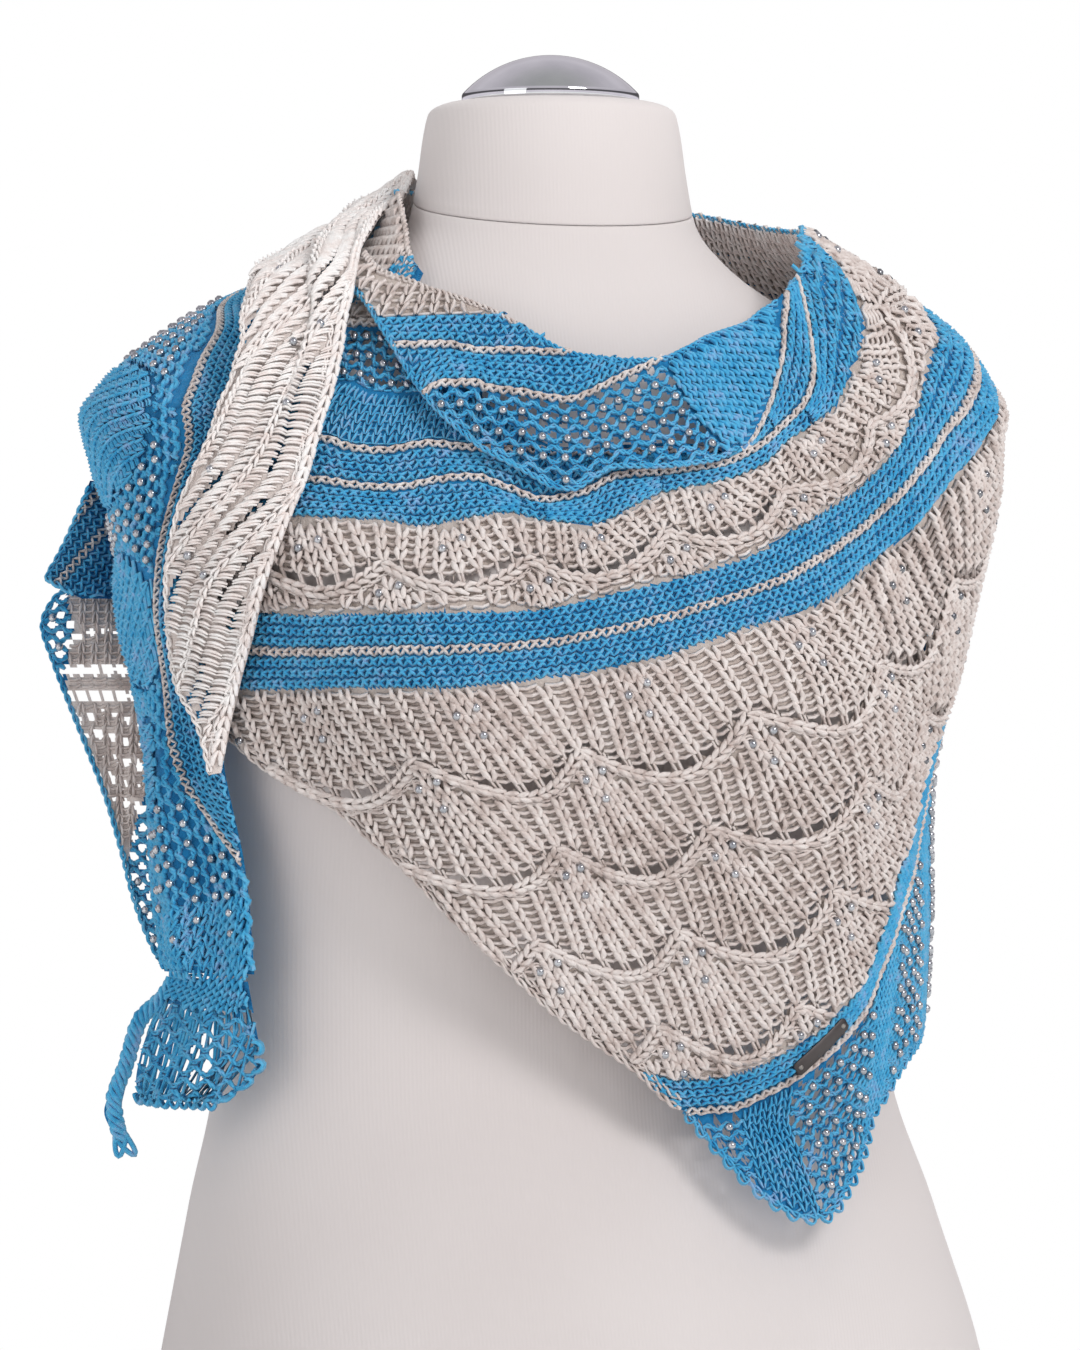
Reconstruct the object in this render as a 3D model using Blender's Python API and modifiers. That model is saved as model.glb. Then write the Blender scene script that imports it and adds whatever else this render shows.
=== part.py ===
"""Knitted lace shawl, wound round the neck of a limbless dress form.

The form faces -Y and stands on its flat base at z = 0. Every stretch of the
shawl is a wall drawn out from a taut drape round the form. Its tables give
the bearing, in degrees from the shawl's own front (turned SHAWL_TURN from the
form's front, growing to the wearer's left), the height and the stand-off.
"""
import math

import bmesh
import bpy
import numpy as np
from mathutils import Vector

MM = 0.001
SEAM = 0.3                      # mm between touching pieces
CLOTH = 2.2                     # mm, knitted wall
DRAPE_GAP = 5.0                 # mm from the form to the taut drape
SHAWL_TURN = math.radians(-13.0)
COLLECTION = "scarf_on_dress_form"

# ---------------------------------------------------------------- dress form
FORM_COLUMNS = ("z", "half_width", "front", "back", "power", "lean")
FORM = [  # lean: how far the section leans to the wearer's left
    (0, 190, 170, 114, 2.3, 8),
    (40, 193, 170, 114, 2.3, 8),
    (90, 184, 160, 110, 2.3, 7.5),
    (157, 168, 134, 106, 2.2, 4),
    (220, 153, 112, 102, 2.1, 0.5),
    (270, 152, 110, 106, 2.1, 0),
    (320, 157, 116, 110, 2.1, 0),
    (380, 164, 122, 116, 2.2, 0),
    (440, 174, 114, 120, 2.4, 0),
    (480, 184, 100, 116, 2.5, 0),
    (505, 183, 90, 108, 2.4, 0),
    (525, 163, 80, 100, 2.2, 0),
    (545, 130, 71, 90, 2.1, 0),
    (562, 101, 65, 80, 2.0, 0),
    (575, 82, 62, 74, 2.0, 0),
    (595, 65, 60, 69, 2.0, 0),
    (617, 60.5, 58.5, 65, 2.0, 0),
    (640, 57.5, 55.5, 61, 2.0, 0),
    (650, 55, 53, 58.5, 2.0, 0),
    (653.4, 51.5, 49.5, 54.5, 2.0, 0),
]
BUST = {"z": 388.0, "bearing": 27.0, "out": 34.0, "wide": 21.0, "high": 50.0}
NECK_SEAM_Z, NECK_SEAM_SLOPE = 603.0, 0.20
NECK_TOP_Z = 653.4
CAP_RADIUS, CAP_HEIGHT, CAP_BACK = 40.0, 18.6, 3.0
FORM_RINGS, FORM_STEPS = 21, 44

# ------------------------------------------------------------- shawl tables
# extra stand-off of the cloth from the taut drape, mm, by height and bearing
LIFT_BEARINGS = (-120, -90, -60, -30, 0, 30, 60, 90, 120, 150, 180, 210)
LIFT = [  # z, then one column for each bearing above
    (190, 0, 0, 0, 0, 8, 17, 17, 4, 1, 1, 1, 1),
    (280, 0, 0, 0, 0, 5, 10, 12, 1, 1, 1, 1, 1),
    (345, 0, 0, 0, 0, 1, 3, 5, -4, -1, 1, 1, 1),
    (400, 1, 0, 0, 0, 0, 0, 2, 3, 2, 2, 2, 2),
    (460, 2, 1, 0, 1, 2, 3, 5, 11, 7, 5, 4, 3),
    (500, 4, 2, 1, 3, 6, 7, 9, 15, 12, 10, 8, 5),
    (525, 6, 4, 2, 4, 7, 9, 15, 32, 25, 20, 14, 9),
    (550, 7, 6, 4, 5, 7, 11, 19, 51, 41, 34, 25, 16),
    (570, 9, 7, 6, 8, 10, 13, 22, 57, 47, 42, 30, 20),
    (590, 9, 6, 6, 9, 11, 14, 24, 44, 42, 40, 29, 19),
    (612, 5, 3, 4, 9, 11, 14, 22, 34, 34, 32, 24, 13),
]
# wide lower layer over the chest and the right side: bottom and top edge
FRONT_EDGES = [  # bearing, bottom, top
    (-58, 370, 546), (-50, 353, 551), (-42, 342, 547), (-36, 335, 537),
    (-30, 323, 527), (-24, 310, 520), (-16, 288, 510), (-9, 270, 502),
    (-4, 258, 494), (1, 247, 490), (8, 235, 489.5), (15, 223.5, 491),
    (21, 210, 491.5), (25, 204, 492), (29, 190, 492), (34, 173, 491),
    (38, 164, 488.5), (41, 160, 491), (44, 160, 495), (47, 164, 501),
    (50, 171, 509), (53, 178, 518), (59, 194, 538), (62, 202, 549),
    (65, 209, 559), (69, 218, 567), (75, 226, 577.5), (82, 231, 587),
    (88, 238, 591.5), (95, 251, 594),
]
# rolled neck fold: bottom edge, neckline, stand-off over the layer below
COWL_EDGES = [  # bearing, bottom, top, over
    (-61, 571, 581, 9.5), (-55, 568, 576.5, 9.5), (-50, 561, 572.5, 9.5),
    (-45, 555, 569, 9.5), (-40, 546, 566.5, 9.5), (-34, 533, 562.5, 9),
    (-30, 523, 560.5, 9), (-26, 513.5, 558.5, 9), (-22, 505, 556, 9),
    (-18, 497.5, 553.5, 8.5), (-13, 489, 549.5, 8), (-8, 483, 545, 7.5),
    (-4, 478, 541, 7), (0, 473, 537, 6), (4, 472, 534, 5), (8, 477, 532.5, 4.6),
    (13, 482, 531.5, 5), (20, 482, 530.5, 5.5), (28, 483.5, 531.5, 5.5),
    (34, 486, 535.5, 4.4), (38, 489.8, 538.5, 2.6), (41, 491.5, 541, 1.2),
    (47, 501.5, 544.5, 0.6), (53, 518.5, 548, 0.3), (59, 538.5, 554.5, 0.1),
    (62, 549.5, 557.5, 0.0), (65, 559.6, 562.5, 0.0),
]
# stretch round the back of the neck and shoulders
BACK_EDGES = [  # bearing, bottom, top, over
    (95.3, 252, 594, 0), (103, 280, 595, 0), (112, 322, 597, 0),
    (122, 362, 600, 0), (135, 396, 605, 0), (150, 418, 610, 0),
    (165, 430, 613, 0), (180, 437, 614.5, 0), (198, 438, 615, 0),
    (216, 432, 615, 0), (234, 424, 614, 0), (250, 418, 613, 0),
    (264, 420, 612, 0), (276, 440, 611, 0), (286, 490, 608.5, 0),
    (294, 540, 602, 0), (302, 554, 592, -1), (311, 557, 579.5, -2),
    (319, 557, 570, -3),
]
# blue beaded stretch over the viewer's-left shoulder: each row is a section
# from its inner edge, under the cream strip, to its outer edge
SHOULDER = [  # in_bearing, in_z, in_over, mid_over, out_bearing, out_z, out_over
    (-98, 592, 9, 14, -132, 577, 12),
    (-84, 580, 12, 27, -132, 556, 16),
    (-74, 568, 13, 40, -131, 530, 17),
    (-66, 555, 12, 34, -129, 502, 13),
    (-58, 536, 9, 23, -126, 474, 10),
    (-53, 514, 7.5, 14, -121, 449, 8),
    (-51, 492, 7, 9.5, -112, 430, 7),
    (-52, 470, 7, 10.5, -100, 420, 9),
    (-53, 448, 7, 11, -88, 410, 10),
    (-54, 425, 8, 10.5, -81, 396, 10),
    (-54, 402, 8.5, 9.5, -77, 380, 10),
    (-54, 380, 8.5, 9.5, -75, 362, 10),
    (-54, 358, 9, 10.5, -74, 344, 11),
    (-52.5, 335, 10, 12, -73.5, 322, 12.5),
    (-51, 312, 10, 13, -73, 300, 14),
    (-50.5, 290, 10, 13.5, -72, 279, 14.5),
    (-50.5, 264, 10, 13, -71, 263, 15),
]
# cream strip, wrong side out: inner edge by the neck, outer edge on the blue
TAIL = [  # in_bearing, in_z, in_over, mid_over, out_bearing, out_z, out_over
    (-148, 608, 5, 14, -150, 560, 22),
    (-126, 615, 4, 17, -118, 570, 30),
    (-108, 615, 4, 21, -97, 577, 31),
    (-90, 604, 5, 25, -78, 566, 41),
    (-70, 591, 14, 30, -69, 562, 45),
    (-56, 576, 18, 31, -60, 552, 43),
    (-46, 553, 18, 29, -53, 534, 38),
    (-42.5, 530, 13, 22, -52, 516, 28),
    (-40.5, 507, 10, 17, -52.5, 500, 21),
    (-40.5, 482, 8, 14, -54.5, 479, 17.5),
    (-42, 458, 8, 13.5, -57.5, 456, 17.5),
    (-45, 433, 8, 13.5, -59.5, 434, 17.5),
    (-47.5, 410, 8, 13.5, -60, 411, 17),
    (-50, 390, 8.5, 13.5, -59.5, 391, 17),
    (-52, 370, 10.5, 14, -56, 371, 17),
    (-53, 351, 14, 16.5, -53.9, 350, 18),
]
# flared looped end of the tail, its twisted point, the striped side fold and
# the see-through end behind: x to the viewer's right, t towards the viewer
TAIL_END = [  # z, left_x, left_t, right_x, right_t, bow
    (261, -168, 54, -131, 108, 5),
    (250, -172, 53, -129, 107, 8),
    (238, -178, 52, -127, 105, 10),
    (226, -182, 52, -125, 103, 11),
    (215, -184, 52, -133, 97, 11),
    (208, -183, 53, -146, 87, 9),
]
TAIL_TIP = [  # z, left_x, left_t, right_x, right_t, bow
    (252, -181, 43, -173, 49, 1),
    (240, -187, 41, -178, 46, 1),
    (226, -192, 40, -181.5, 43, 2),
    (212, -197, 39, -186, 40, 2),
    (200, -202, 39, -187.5, 38, 3),
    (190, -197, 40, -185.5, 37, 3),
    (184, -192, 40, -186, 37, 2),
]
SIDE_FLAP = [  # z, left_x, left_t, right_x, right_t, bow
    (482, -211, -37, -200, -56, 1),
    (470, -216, -38, -200, -55, 2),
    (456, -222, -38, -199, -53, 4),
    (446, -227, -37, -198, -50, 5),
    (438, -231, -34, -197, -46, 5),
    (433, -224, -29, -196, -42, 4),
    (428, -214, -24, -196, -38, 2),
]
BACK_END = [  # z, left_x, left_t, right_x, right_t, bow
    (438, -213, -44, -186, -58, 0),
    (428, -228, -42, -186, -54, 3),
    (416, -233, -39, -186, -50, 5),
    (400, -228, -37, -184, -46, 6),
    (382, -221, -35, -181, -42, 5),
    (360, -212, -33, -177, -38, 4),
    (337, -203, -31, -173, -34, 3),
    (314, -196, -28, -170, -30, 2),
    (292, -190, -24, -168, -26, 2),
    (274, -183, -18, -168, -20, 1),
    (262, -177, -14, -170, -16, 0),
]
# soft ridges (positive) and troughs, one row each
FOLDS = [  # from_bearing, from_z, to_bearing, to_z, height, width
    (96, 556, 60, 486, 4.0, 16), (88, 585, 66, 520, -3.0, 12),
    (92, 520, 34, 452, 2.5, 18), (86, 470, 28, 400, -1.5, 20),
    (84, 430, 44, 320, 2.5, 20), (66, 420, 30, 300, -1.5, 18),
    (74, 340, 52, 190, 2.5, 13), (44, 300, 40, 180, -1.5, 12),
    (26, 330, 20, 215, 2.0, 14), (-40, 470, -30, 360, 1.5, 14),
    (-20, 395, -4, 275, 2.0, 14), (20, 520, 60, 545, 2.0, 10),
    (120, 575, 128, 420, 5.0, 16), (146, 590, 150, 450, -3.0, 14),
    (166, 598, 170, 460, 4.5, 15), (190, 600, 200, 460, -2.5, 14),
    (212, 598, 222, 460, 4.0, 15), (240, 598, 246, 450, -2.0, 13),
    (262, 600, 262, 440, 3.0, 12),
]
LIP = [  # bearing, z: crest of the rolled neck fold
    (-61, 575), (-50, 566), (-40, 553), (-30, 534), (-23, 517), (-15, 507),
    (-8, 500), (0, 491), (10, 486), (20, 487), (30, 490), (40, 501), (50, 522), (60, 552),
]
LIP_HEIGHT, LIP_WIDTH = 5.0, 11.0
TAG = {"bearing": (43.4, 52.1), "z": (222.5, 243.0), "width": 6.6,
       "thick": 1.2, "over": 2.6}

GRIDS = {  # along, across
    "scarf_front": (51, 15), "scarf_cowl": (42, 8), "scarf_back": (44, 11),
    "scarf_shoulder": (22, 14), "scarf_tail": (24, 8),
    "scarf_tail_end": (8, 9), "scarf_tail_tip": (9, 3),
    "scarf_side_flap": (8, 5), "scarf_back_end": (13, 6),
}
COLOURS = {  # red, green, blue, metallic, roughness
    "form": (0.86, 0.83, 0.79, 0.0, 0.85), "cap": (0.75, 0.75, 0.76, 1.0, 0.12),
    "blue": (0.07, 0.29, 0.52, 0.0, 0.8), "beige": (0.62, 0.55, 0.50, 0.0, 0.8),
    "cream": (0.78, 0.71, 0.62, 0.0, 0.8), "tag": (0.10, 0.085, 0.08, 0.9, 0.4),
}


# --------------------------------------------------------------- interpolation
def smooth(xs, ys, x):
    """Monotone cubic through a short table, without overshoot."""
    xs, ys = np.asarray(xs, float), np.asarray(ys, float)
    x = np.clip(np.asarray(x, float), xs[0], xs[-1])
    h = np.diff(xs)
    d = np.diff(ys) / h
    m = np.zeros(len(xs))
    same = d[:-1] * d[1:] > 0
    w1, w2 = 2 * h[1:] + h[:-1], h[1:] + 2 * h[:-1]
    da, db = np.where(same, d[:-1], 1.0), np.where(same, d[1:], 1.0)
    m[1:-1] = np.where(same, (w1 + w2) / (w1 / da + w2 / db), 0.0)
    m[0], m[-1] = d[0], d[-1]
    k = np.clip(np.searchsorted(xs, x) - 1, 0, len(xs) - 2)
    t = (x - xs[k]) / h[k]
    return (ys[k] * (1 + 2 * t) * (1 - t) ** 2 + ys[k + 1] * t * t * (3 - 2 * t)
            + h[k] * (m[k] * t * (1 - t) ** 2 - m[k + 1] * t * t * (1 - t)))


def column(table, k):
    return [row[k] for row in table]


# --------------------------------------------------------------- form and drape
def form_radius(theta, z):
    """Distance from the neck axis to the form, theta from -Y towards +X."""
    zs = column(FORM, 0)
    a, f, b, n, lean = (smooth(zs, column(FORM, k), z) for k in (1, 2, 3, 4, 5))
    s, c = np.sin(theta), np.cos(theta)
    a = a + lean * np.sign(s)
    s = np.abs(s)
    d = np.where(c > 0, f, b)
    r = (np.maximum(s / a, 1e-9) ** n + np.maximum(np.abs(c) / d, 1e-9) ** n) ** (-1 / n)
    for side in (-1, 1):
        off = (theta - side * math.radians(BUST["bearing"]) + math.pi) % (2 * math.pi) - math.pi
        dz = z - BUST["z"]
        high = np.where(dz > 0, BUST["high"] * 1.25, BUST["high"])
        r = r + BUST["out"] * np.exp(-(off / math.radians(BUST["wide"])) ** 2 - (dz / high) ** 2)
    return r


DRAPE_Z = np.arange(140, 621, 10.0)
DRAPE_THETA = np.radians(np.arange(0, 360, 5.0))
DRAPE_HANG = (200, 560)         # the cloth bridges hollows between these


def taut_drape(rounds=500):
    tt, zz = np.meshgrid(DRAPE_THETA, DRAPE_Z)
    r = form_radius(tt, zz) + DRAPE_GAP
    step = DRAPE_THETA[1]
    hangs = (zz > DRAPE_HANG[0]) & (zz < DRAPE_HANG[1])
    for _ in range(rounds):
        a, b = np.roll(r, 1, 1), np.roll(r, -1, 1)
        r = np.maximum(r, 2 * a * b * math.cos(step) / (a + b))
        mid = r.copy()
        mid[1:-1] = 0.5 * (r[:-2] + r[2:])
        r = np.maximum(r, np.where(hangs, mid, 0))
    return r


DRAPE = taut_drape()


def drape(bearing, z):
    theta = (np.radians(bearing) + SHAWL_TURN) % (2 * math.pi)
    u = theta / DRAPE_THETA[1]
    v = np.clip((z - DRAPE_Z[0]) / 10.0, 0, len(DRAPE_Z) - 1.001)
    i, j = np.floor(u).astype(int), np.floor(v).astype(int)
    fu, fv = u - i, v - j
    fu, fv = fu * fu * (3 - 2 * fu) * 0.3 + fu * 0.7, fv
    n = len(DRAPE_THETA)
    a, b = i % n, (i + 1) % n
    return ((DRAPE[j, a] * (1 - fu) + DRAPE[j, b] * fu) * (1 - fv)
            + (DRAPE[j + 1, a] * (1 - fu) + DRAPE[j + 1, b] * fu) * fv)


def lift(bearing, z):
    """Stand-off table: smooth in height, then a closed cubic in bearing."""
    cols = np.array([smooth(column(LIFT, 0), column(LIFT, k + 1), z)
                     for k in range(len(LIFT_BEARINGS))])
    n = len(LIFT_BEARINGS)
    u = ((bearing - LIFT_BEARINGS[0]) % 360.0) / 30.0
    i = np.floor(u).astype(int)
    t = u - i
    p = [np.take_along_axis(cols, ((i + k) % n)[None], 0)[0] for k in (-1, 0, 1, 2)]
    m1, m2 = 0.5 * (p[2] - p[0]), 0.5 * (p[3] - p[1])
    return (p[1] * (1 + 2 * t) * (1 - t) ** 2 + p[2] * t * t * (3 - 2 * t)
            + m1 * t * (1 - t) ** 2 - m2 * t * t * (1 - t))


def ridges(bearing, z):
    """Soft folds: each row of FOLDS is a ridge that fades at both ends."""
    total = np.zeros_like(z)
    for b0, z0, b1, z1, height, width in FOLDS:
        wide = 2.6              # mm of cloth for one degree
        off = (bearing - b0 + 180) % 360 - 180
        px, pz = off * wide, z - z0
        lx, lz = (b1 - b0) * wide, z1 - z0
        length = math.hypot(lx, lz)
        s = (px * lx + pz * lz) / length ** 2
        d = (px * lz - pz * lx) / length
        end = np.clip(np.minimum(s + 0.15, 1.15 - s) / 0.45, 0, 1)
        total = total + height * end * end * (3 - 2 * end) * np.exp(-(d / width) ** 2)
    return total


def cloth_radius(bearing, z):
    """Middle of the first layer of cloth."""
    bearing, z = np.broadcast_arrays(np.asarray(bearing, float), np.asarray(z, float))
    r = drape(bearing, z) + lift(bearing, z) + ridges(bearing, z)
    keep = form_radius(np.radians(bearing) + SHAWL_TURN, z) + 3.2
    return np.maximum(r, keep)


def lip(bearing, z):
    """Rounded crest of the rolled neck fold."""
    crest = smooth(column(LIP, 0), column(LIP, 1), bearing)
    d = (z - crest) / LIP_WIDTH
    d = np.where(d < 0, d * 0.8, d)
    fade = np.clip((60 - bearing) / 30, 0, 1)
    return LIP_HEIGHT * fade * np.exp(-d * d)


def place(bearing, r, z):
    """Bearing in degrees, radius and height in mm, to metres."""
    theta = np.radians(bearing) + SHAWL_TURN
    return np.stack([r * np.sin(theta), -r * np.cos(theta), z], -1) * MM


def place_flat(x, t, z):
    """x to the viewer's right and t towards the viewer, to metres."""
    c, s = math.cos(SHAWL_TURN), math.sin(SHAWL_TURN)
    return np.stack([x * c + t * s, x * s - t * c, z], -1) * MM


# --------------------------------------------------------------- the stretches
def front_point(u, v):
    b = FRONT_EDGES[0][0] + u * (FRONT_EDGES[-1][0] - FRONT_EDGES[0][0])
    low = smooth(column(FRONT_EDGES, 0), column(FRONT_EDGES, 1), b)
    top = smooth(column(FRONT_EDGES, 0), column(FRONT_EDGES, 2), b)
    z = low + v * (top - low)
    return place(b, cloth_radius(b, z), z)


def cowl_point(u, v):
    b = COWL_EDGES[0][0] + u * (COWL_EDGES[-1][0] - COWL_EDGES[0][0])
    low, top, over = (smooth(column(COWL_EDGES, 0), column(COWL_EDGES, k), b) for k in (1, 2, 3))
    seam = smooth(column(FRONT_EDGES, 0), column(FRONT_EDGES, 2), b) + 4 * SEAM
    low = np.where(b > 40.5, seam, low)
    z = low + v * (top - low)
    r = cloth_radius(b, z) + over * (1 - 0.45 * v) + lip(b, z)
    return place(b, r, z)


def back_point(u, v):
    b = BACK_EDGES[0][0] + u * (BACK_EDGES[-1][0] - BACK_EDGES[0][0])
    low, top, over = (smooth(column(BACK_EDGES, 0), column(BACK_EDGES, k), b) for k in (1, 2, 3))
    z = low + v * (top - low)
    keep = form_radius(np.radians(b) + SHAWL_TURN, z) + 2.6
    return place(b, np.maximum(cloth_radius(b, z) + over, keep), z)


def wrapped_point(table, u, v, waves):
    """Section u of a wrapped stretch, v from its inner to its outer edge."""
    rows = np.linspace(0, 1, len(table))
    ib, iz, io, mo, ob, oz, oo = (smooth(rows, column(table, k), u) for k in range(7))
    b, z = ib + v * (ob - ib), iz + v * (oz - iz)
    over = io * (1 - v) * (1 - 2 * v) + mo * 4 * v * (1 - v) + oo * v * (2 * v - 1)
    z = z + 4 * v * (1 - v) * np.clip(3 * (oz - iz) / 26, -8, 0) * -0.6
    r = cloth_radius(b, z) + over
    for centre, wide, height, start, stop in waves:
        fade = np.clip(np.minimum(u - start, stop - u) / 0.12, 0, 1)
        r = r + height * fade * np.exp(-((v - centre) / wide) ** 2)
    return b, r, z


SHOULDER_WAVES = [  # centre, wide, height, start, stop
    (0.35, 0.10, 2.0, 0.05, 0.60), (0.62, 0.09, -2.0, 0.05, 0.55),
    (0.30, 0.16, -3.0, 0.62, 1.12), (0.60, 0.14, 4.0, 0.62, 1.12),
]
TAIL_WAVES = [
    (0.22, 0.11, 4.5, 0.10, 0.62), (0.45, 0.09, -4.5, 0.10, 0.50),
    (0.72, 0.12, 3.0, 0.08, 0.70), (0.40, 0.16, 2.0, 0.50, 0.98),
]


def shoulder_point(u, v):
    return place(*wrapped_point(SHOULDER, u, v, SHOULDER_WAVES))


def tail_point(u, v):
    return place(*wrapped_point(TAIL, u, v, TAIL_WAVES))


def hanging_point(table, u, v, ripple):
    """A stretch that hangs clear: u down its sections, v left to right."""
    rows = np.linspace(0, 1, len(table))
    z, lx, lt, rx, rt, bow = (smooth(rows, column(table, k), u) for k in range(6))
    x, t = lx + v * (rx - lx), lt + v * (rt - lt)
    t = t + bow * np.sin(math.pi * v) + ripple * np.sin(2 * math.pi * (1.7 * v + 0.6 * u)) * u
    return place_flat(x, t, z)


STRETCHES = {
    "scarf_front": front_point,
    "scarf_cowl": cowl_point,
    "scarf_back": back_point,
    "scarf_shoulder": shoulder_point,
    "scarf_tail": tail_point,
    "scarf_tail_end": lambda u, v: hanging_point(TAIL_END, u, v, 2.5),
    "scarf_tail_tip": lambda u, v: hanging_point(TAIL_TIP, u, v, 0.8),
    "scarf_side_flap": lambda u, v: hanging_point(SIDE_FLAP, u, v, 1.0),
    "scarf_back_end": lambda u, v: hanging_point(BACK_END, u, v, 2.5),
}


# --------------------------------------------------------------- building
def clear():
    for item in list(bpy.data.objects):
        bpy.data.objects.remove(item, do_unlink=True)
    for item in list(bpy.data.collections):
        bpy.data.collections.remove(item)


def material(name, look):
    r, g, b, metal, rough = look
    made = bpy.data.materials.new(name)
    made.use_nodes = True
    node = made.node_tree.nodes["Principled BSDF"]
    node.inputs["Base Color"].default_value = (r, g, b, 1.0)
    node.inputs["Metallic"].default_value = metal
    node.inputs["Roughness"].default_value = rough
    made.diffuse_color = (r, g, b, 1.0)
    return made


def add(name, verts, faces, home, look):
    mesh = bpy.data.meshes.new(name)
    mesh.from_pydata([tuple(v) for v in verts], [], faces)
    mesh.update()
    made = bpy.data.objects.new(name, mesh)
    home.objects.link(made)
    mesh.materials.append(material("mat_" + name, look))
    return made


def close_outward(made):
    """Face every side of a closed solid outwards."""
    work = bmesh.new()
    work.from_mesh(made.data)
    bmesh.ops.recalc_face_normals(work, faces=work.faces)
    if work.calc_volume(signed=True) < 0:
        bmesh.ops.reverse_faces(work, faces=work.faces)
    work.to_mesh(made.data)
    work.free()


def ring_solid(name, rings, home, look):
    """Loft through closed rings of equal count, with a flat face at each end."""
    n = len(rings[0])
    verts = [p for ring in rings for p in ring]
    faces = []
    for k in range(len(rings) - 1):
        for i in range(n):
            j = (i + 1) % n
            faces.append((k * n + i, k * n + j, (k + 1) * n + j, (k + 1) * n + i))
    faces.append(tuple(range(n - 1, -1, -1)))
    faces.append(tuple((len(rings) - 1) * n + i for i in range(n)))
    made = add(name, verts, faces, home, look)
    close_outward(made)
    return made


def form_ring(thetas, z):
    r = form_radius(thetas, z)
    return np.stack([r * np.sin(thetas), -r * np.cos(thetas), z + 0 * r], -1)


def on_seam(thetas, gap):
    """Ring where the form meets the slanted neck seam."""
    z = np.full(len(thetas), NECK_SEAM_Z)
    for _ in range(12):
        r = form_radius(thetas, z)
        z = NECK_SEAM_Z - NECK_SEAM_SLOPE * r * np.cos(thetas) + gap
    r = form_radius(thetas, z)
    return np.stack([r * np.sin(thetas), -r * np.cos(thetas), z], -1)


def build_form(home):
    thetas = np.linspace(0, 2 * math.pi, FORM_STEPS, endpoint=False)
    top = on_seam(thetas, -SEAM / 2)
    heights = [0, 3, 40, 90, 150, 210, 260, 310, 345, 375, 405, 435, 465, 487, 503, 518, 533, 548, 562]
    rings = []
    for z in heights:
        ring = form_ring(thetas, z)
        if z == 0:
            ring[:, :2] *= 0.985
        rings.append(ring * MM)
    for part in (0.45,):
        z = 562 + (top[:, 2] - 562) * part
        r = form_radius(thetas, z)
        rings.append(np.stack([r * np.sin(thetas), -r * np.cos(thetas), z], -1) * MM)
    rings.append(top * MM)
    ring_solid("form_torso", rings, home, COLOURS["form"])

    low = on_seam(thetas, SEAM / 2)
    rings = [low * MM]
    for z in (624, 638, 647, 651, NECK_TOP_Z):
        rings.append(form_ring(thetas, z) * MM)
    ring_solid("form_neck", rings, home, COLOURS["form"])

    # chrome cap: a low dome with a small rim, turned about the neck axis
    profile = [(0.0, CAP_HEIGHT)]
    for k in range(1, 9):
        a = math.radians(90 * k / 8)
        profile.append((CAP_RADIUS * math.sin(a) ** 0.9, CAP_HEIGHT * math.cos(a) ** 0.85))
    profile[-1] = (CAP_RADIUS, 1.6)
    profile.append((CAP_RADIUS - 0.6, 0.0))
    profile.append((0.0, 0.0))
    base = NECK_TOP_Z + SEAM
    cap = add("form_cap", [(x * MM, 0.0, z * MM) for x, z in profile], [], home, COLOURS["cap"])
    mesh = cap.data
    mesh.edges.add(len(profile) - 1)
    for k, edge in enumerate(mesh.edges):
        edge.vertices = (k, k + 1)
    turn = cap.modifiers.new("turn", "SCREW")
    turn.angle = 2 * math.pi
    turn.steps = turn.render_steps = 32
    turn.use_merge_vertices = True
    turn.merge_threshold = 0.00002
    cap.location = (0.0, CAP_BACK * MM, base * MM)
    apply_all(cap)
    close_outward(cap)


def apply_all(made):
    """Bake the modifiers and the placing into the mesh."""
    bpy.context.view_layer.update()
    graph = bpy.context.evaluated_depsgraph_get()
    baked = bpy.data.meshes.new_from_object(made.evaluated_get(graph))
    baked.transform(made.matrix_world)
    made.modifiers.clear()
    old = made.data
    made.data = baked
    bpy.data.meshes.remove(old)
    baked.name = made.name
    made.matrix_world.identity()
    made.location = (0, 0, 0)


def build_stretch(name, home, look):
    """Open grid of the stretch, thickened to a wall of knitted cloth."""
    nu, nv = GRIDS[name]
    u, v = np.meshgrid(np.linspace(0, 1, nu + 1), np.linspace(0, 1, nv + 1), indexing="ij")
    points = STRETCHES[name](u, v).reshape(-1, 3)
    faces = []
    for i in range(nu):
        for j in range(nv):
            a = i * (nv + 1) + j
            faces.append((a, a + 1, a + nv + 2, a + nv + 1))
    made = add(name, points, faces, home, look)
    wall = made.modifiers.new("wall", "SOLIDIFY")
    wall.thickness = CLOTH * MM
    wall.offset = 0.0
    wall.use_even_offset = False
    apply_all(made)
    close_outward(made)
    return made


def build_tag(home):
    """Small blank metal plate, curved with the lower blue band."""
    n = 7
    t = np.linspace(0, 1, n)
    b = TAG["bearing"][0] + t * (TAG["bearing"][1] - TAG["bearing"][0])
    z = TAG["z"][0] + t * (TAG["z"][1] - TAG["z"][0])
    half = TAG["width"] / 2
    rings = []
    for k in range(n):
        centre = place(b[k], cloth_radius(b[k], z[k]) + TAG["over"], z[k])
        theta = math.radians(b[k]) + SHAWL_TURN
        out = Vector((math.sin(theta), -math.cos(theta), 0.0))
        run = Vector(place(b[-1], cloth_radius(b[-1], z[-1]), z[-1])
                     - place(b[0], cloth_radius(b[0], z[0]), z[0])).normalized()
        side = out.cross(run).normalized()
        c = Vector(centre)
        rings.append([tuple(c + side * (half * MM * sx) + out * (TAG["thick"] / 2 * MM * so))
                      for sx, so in ((-1, -1), (1, -1), (1, 1), (-1, 1))])
    ring_solid("tag_plate", rings, home, COLOURS["tag"])


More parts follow.
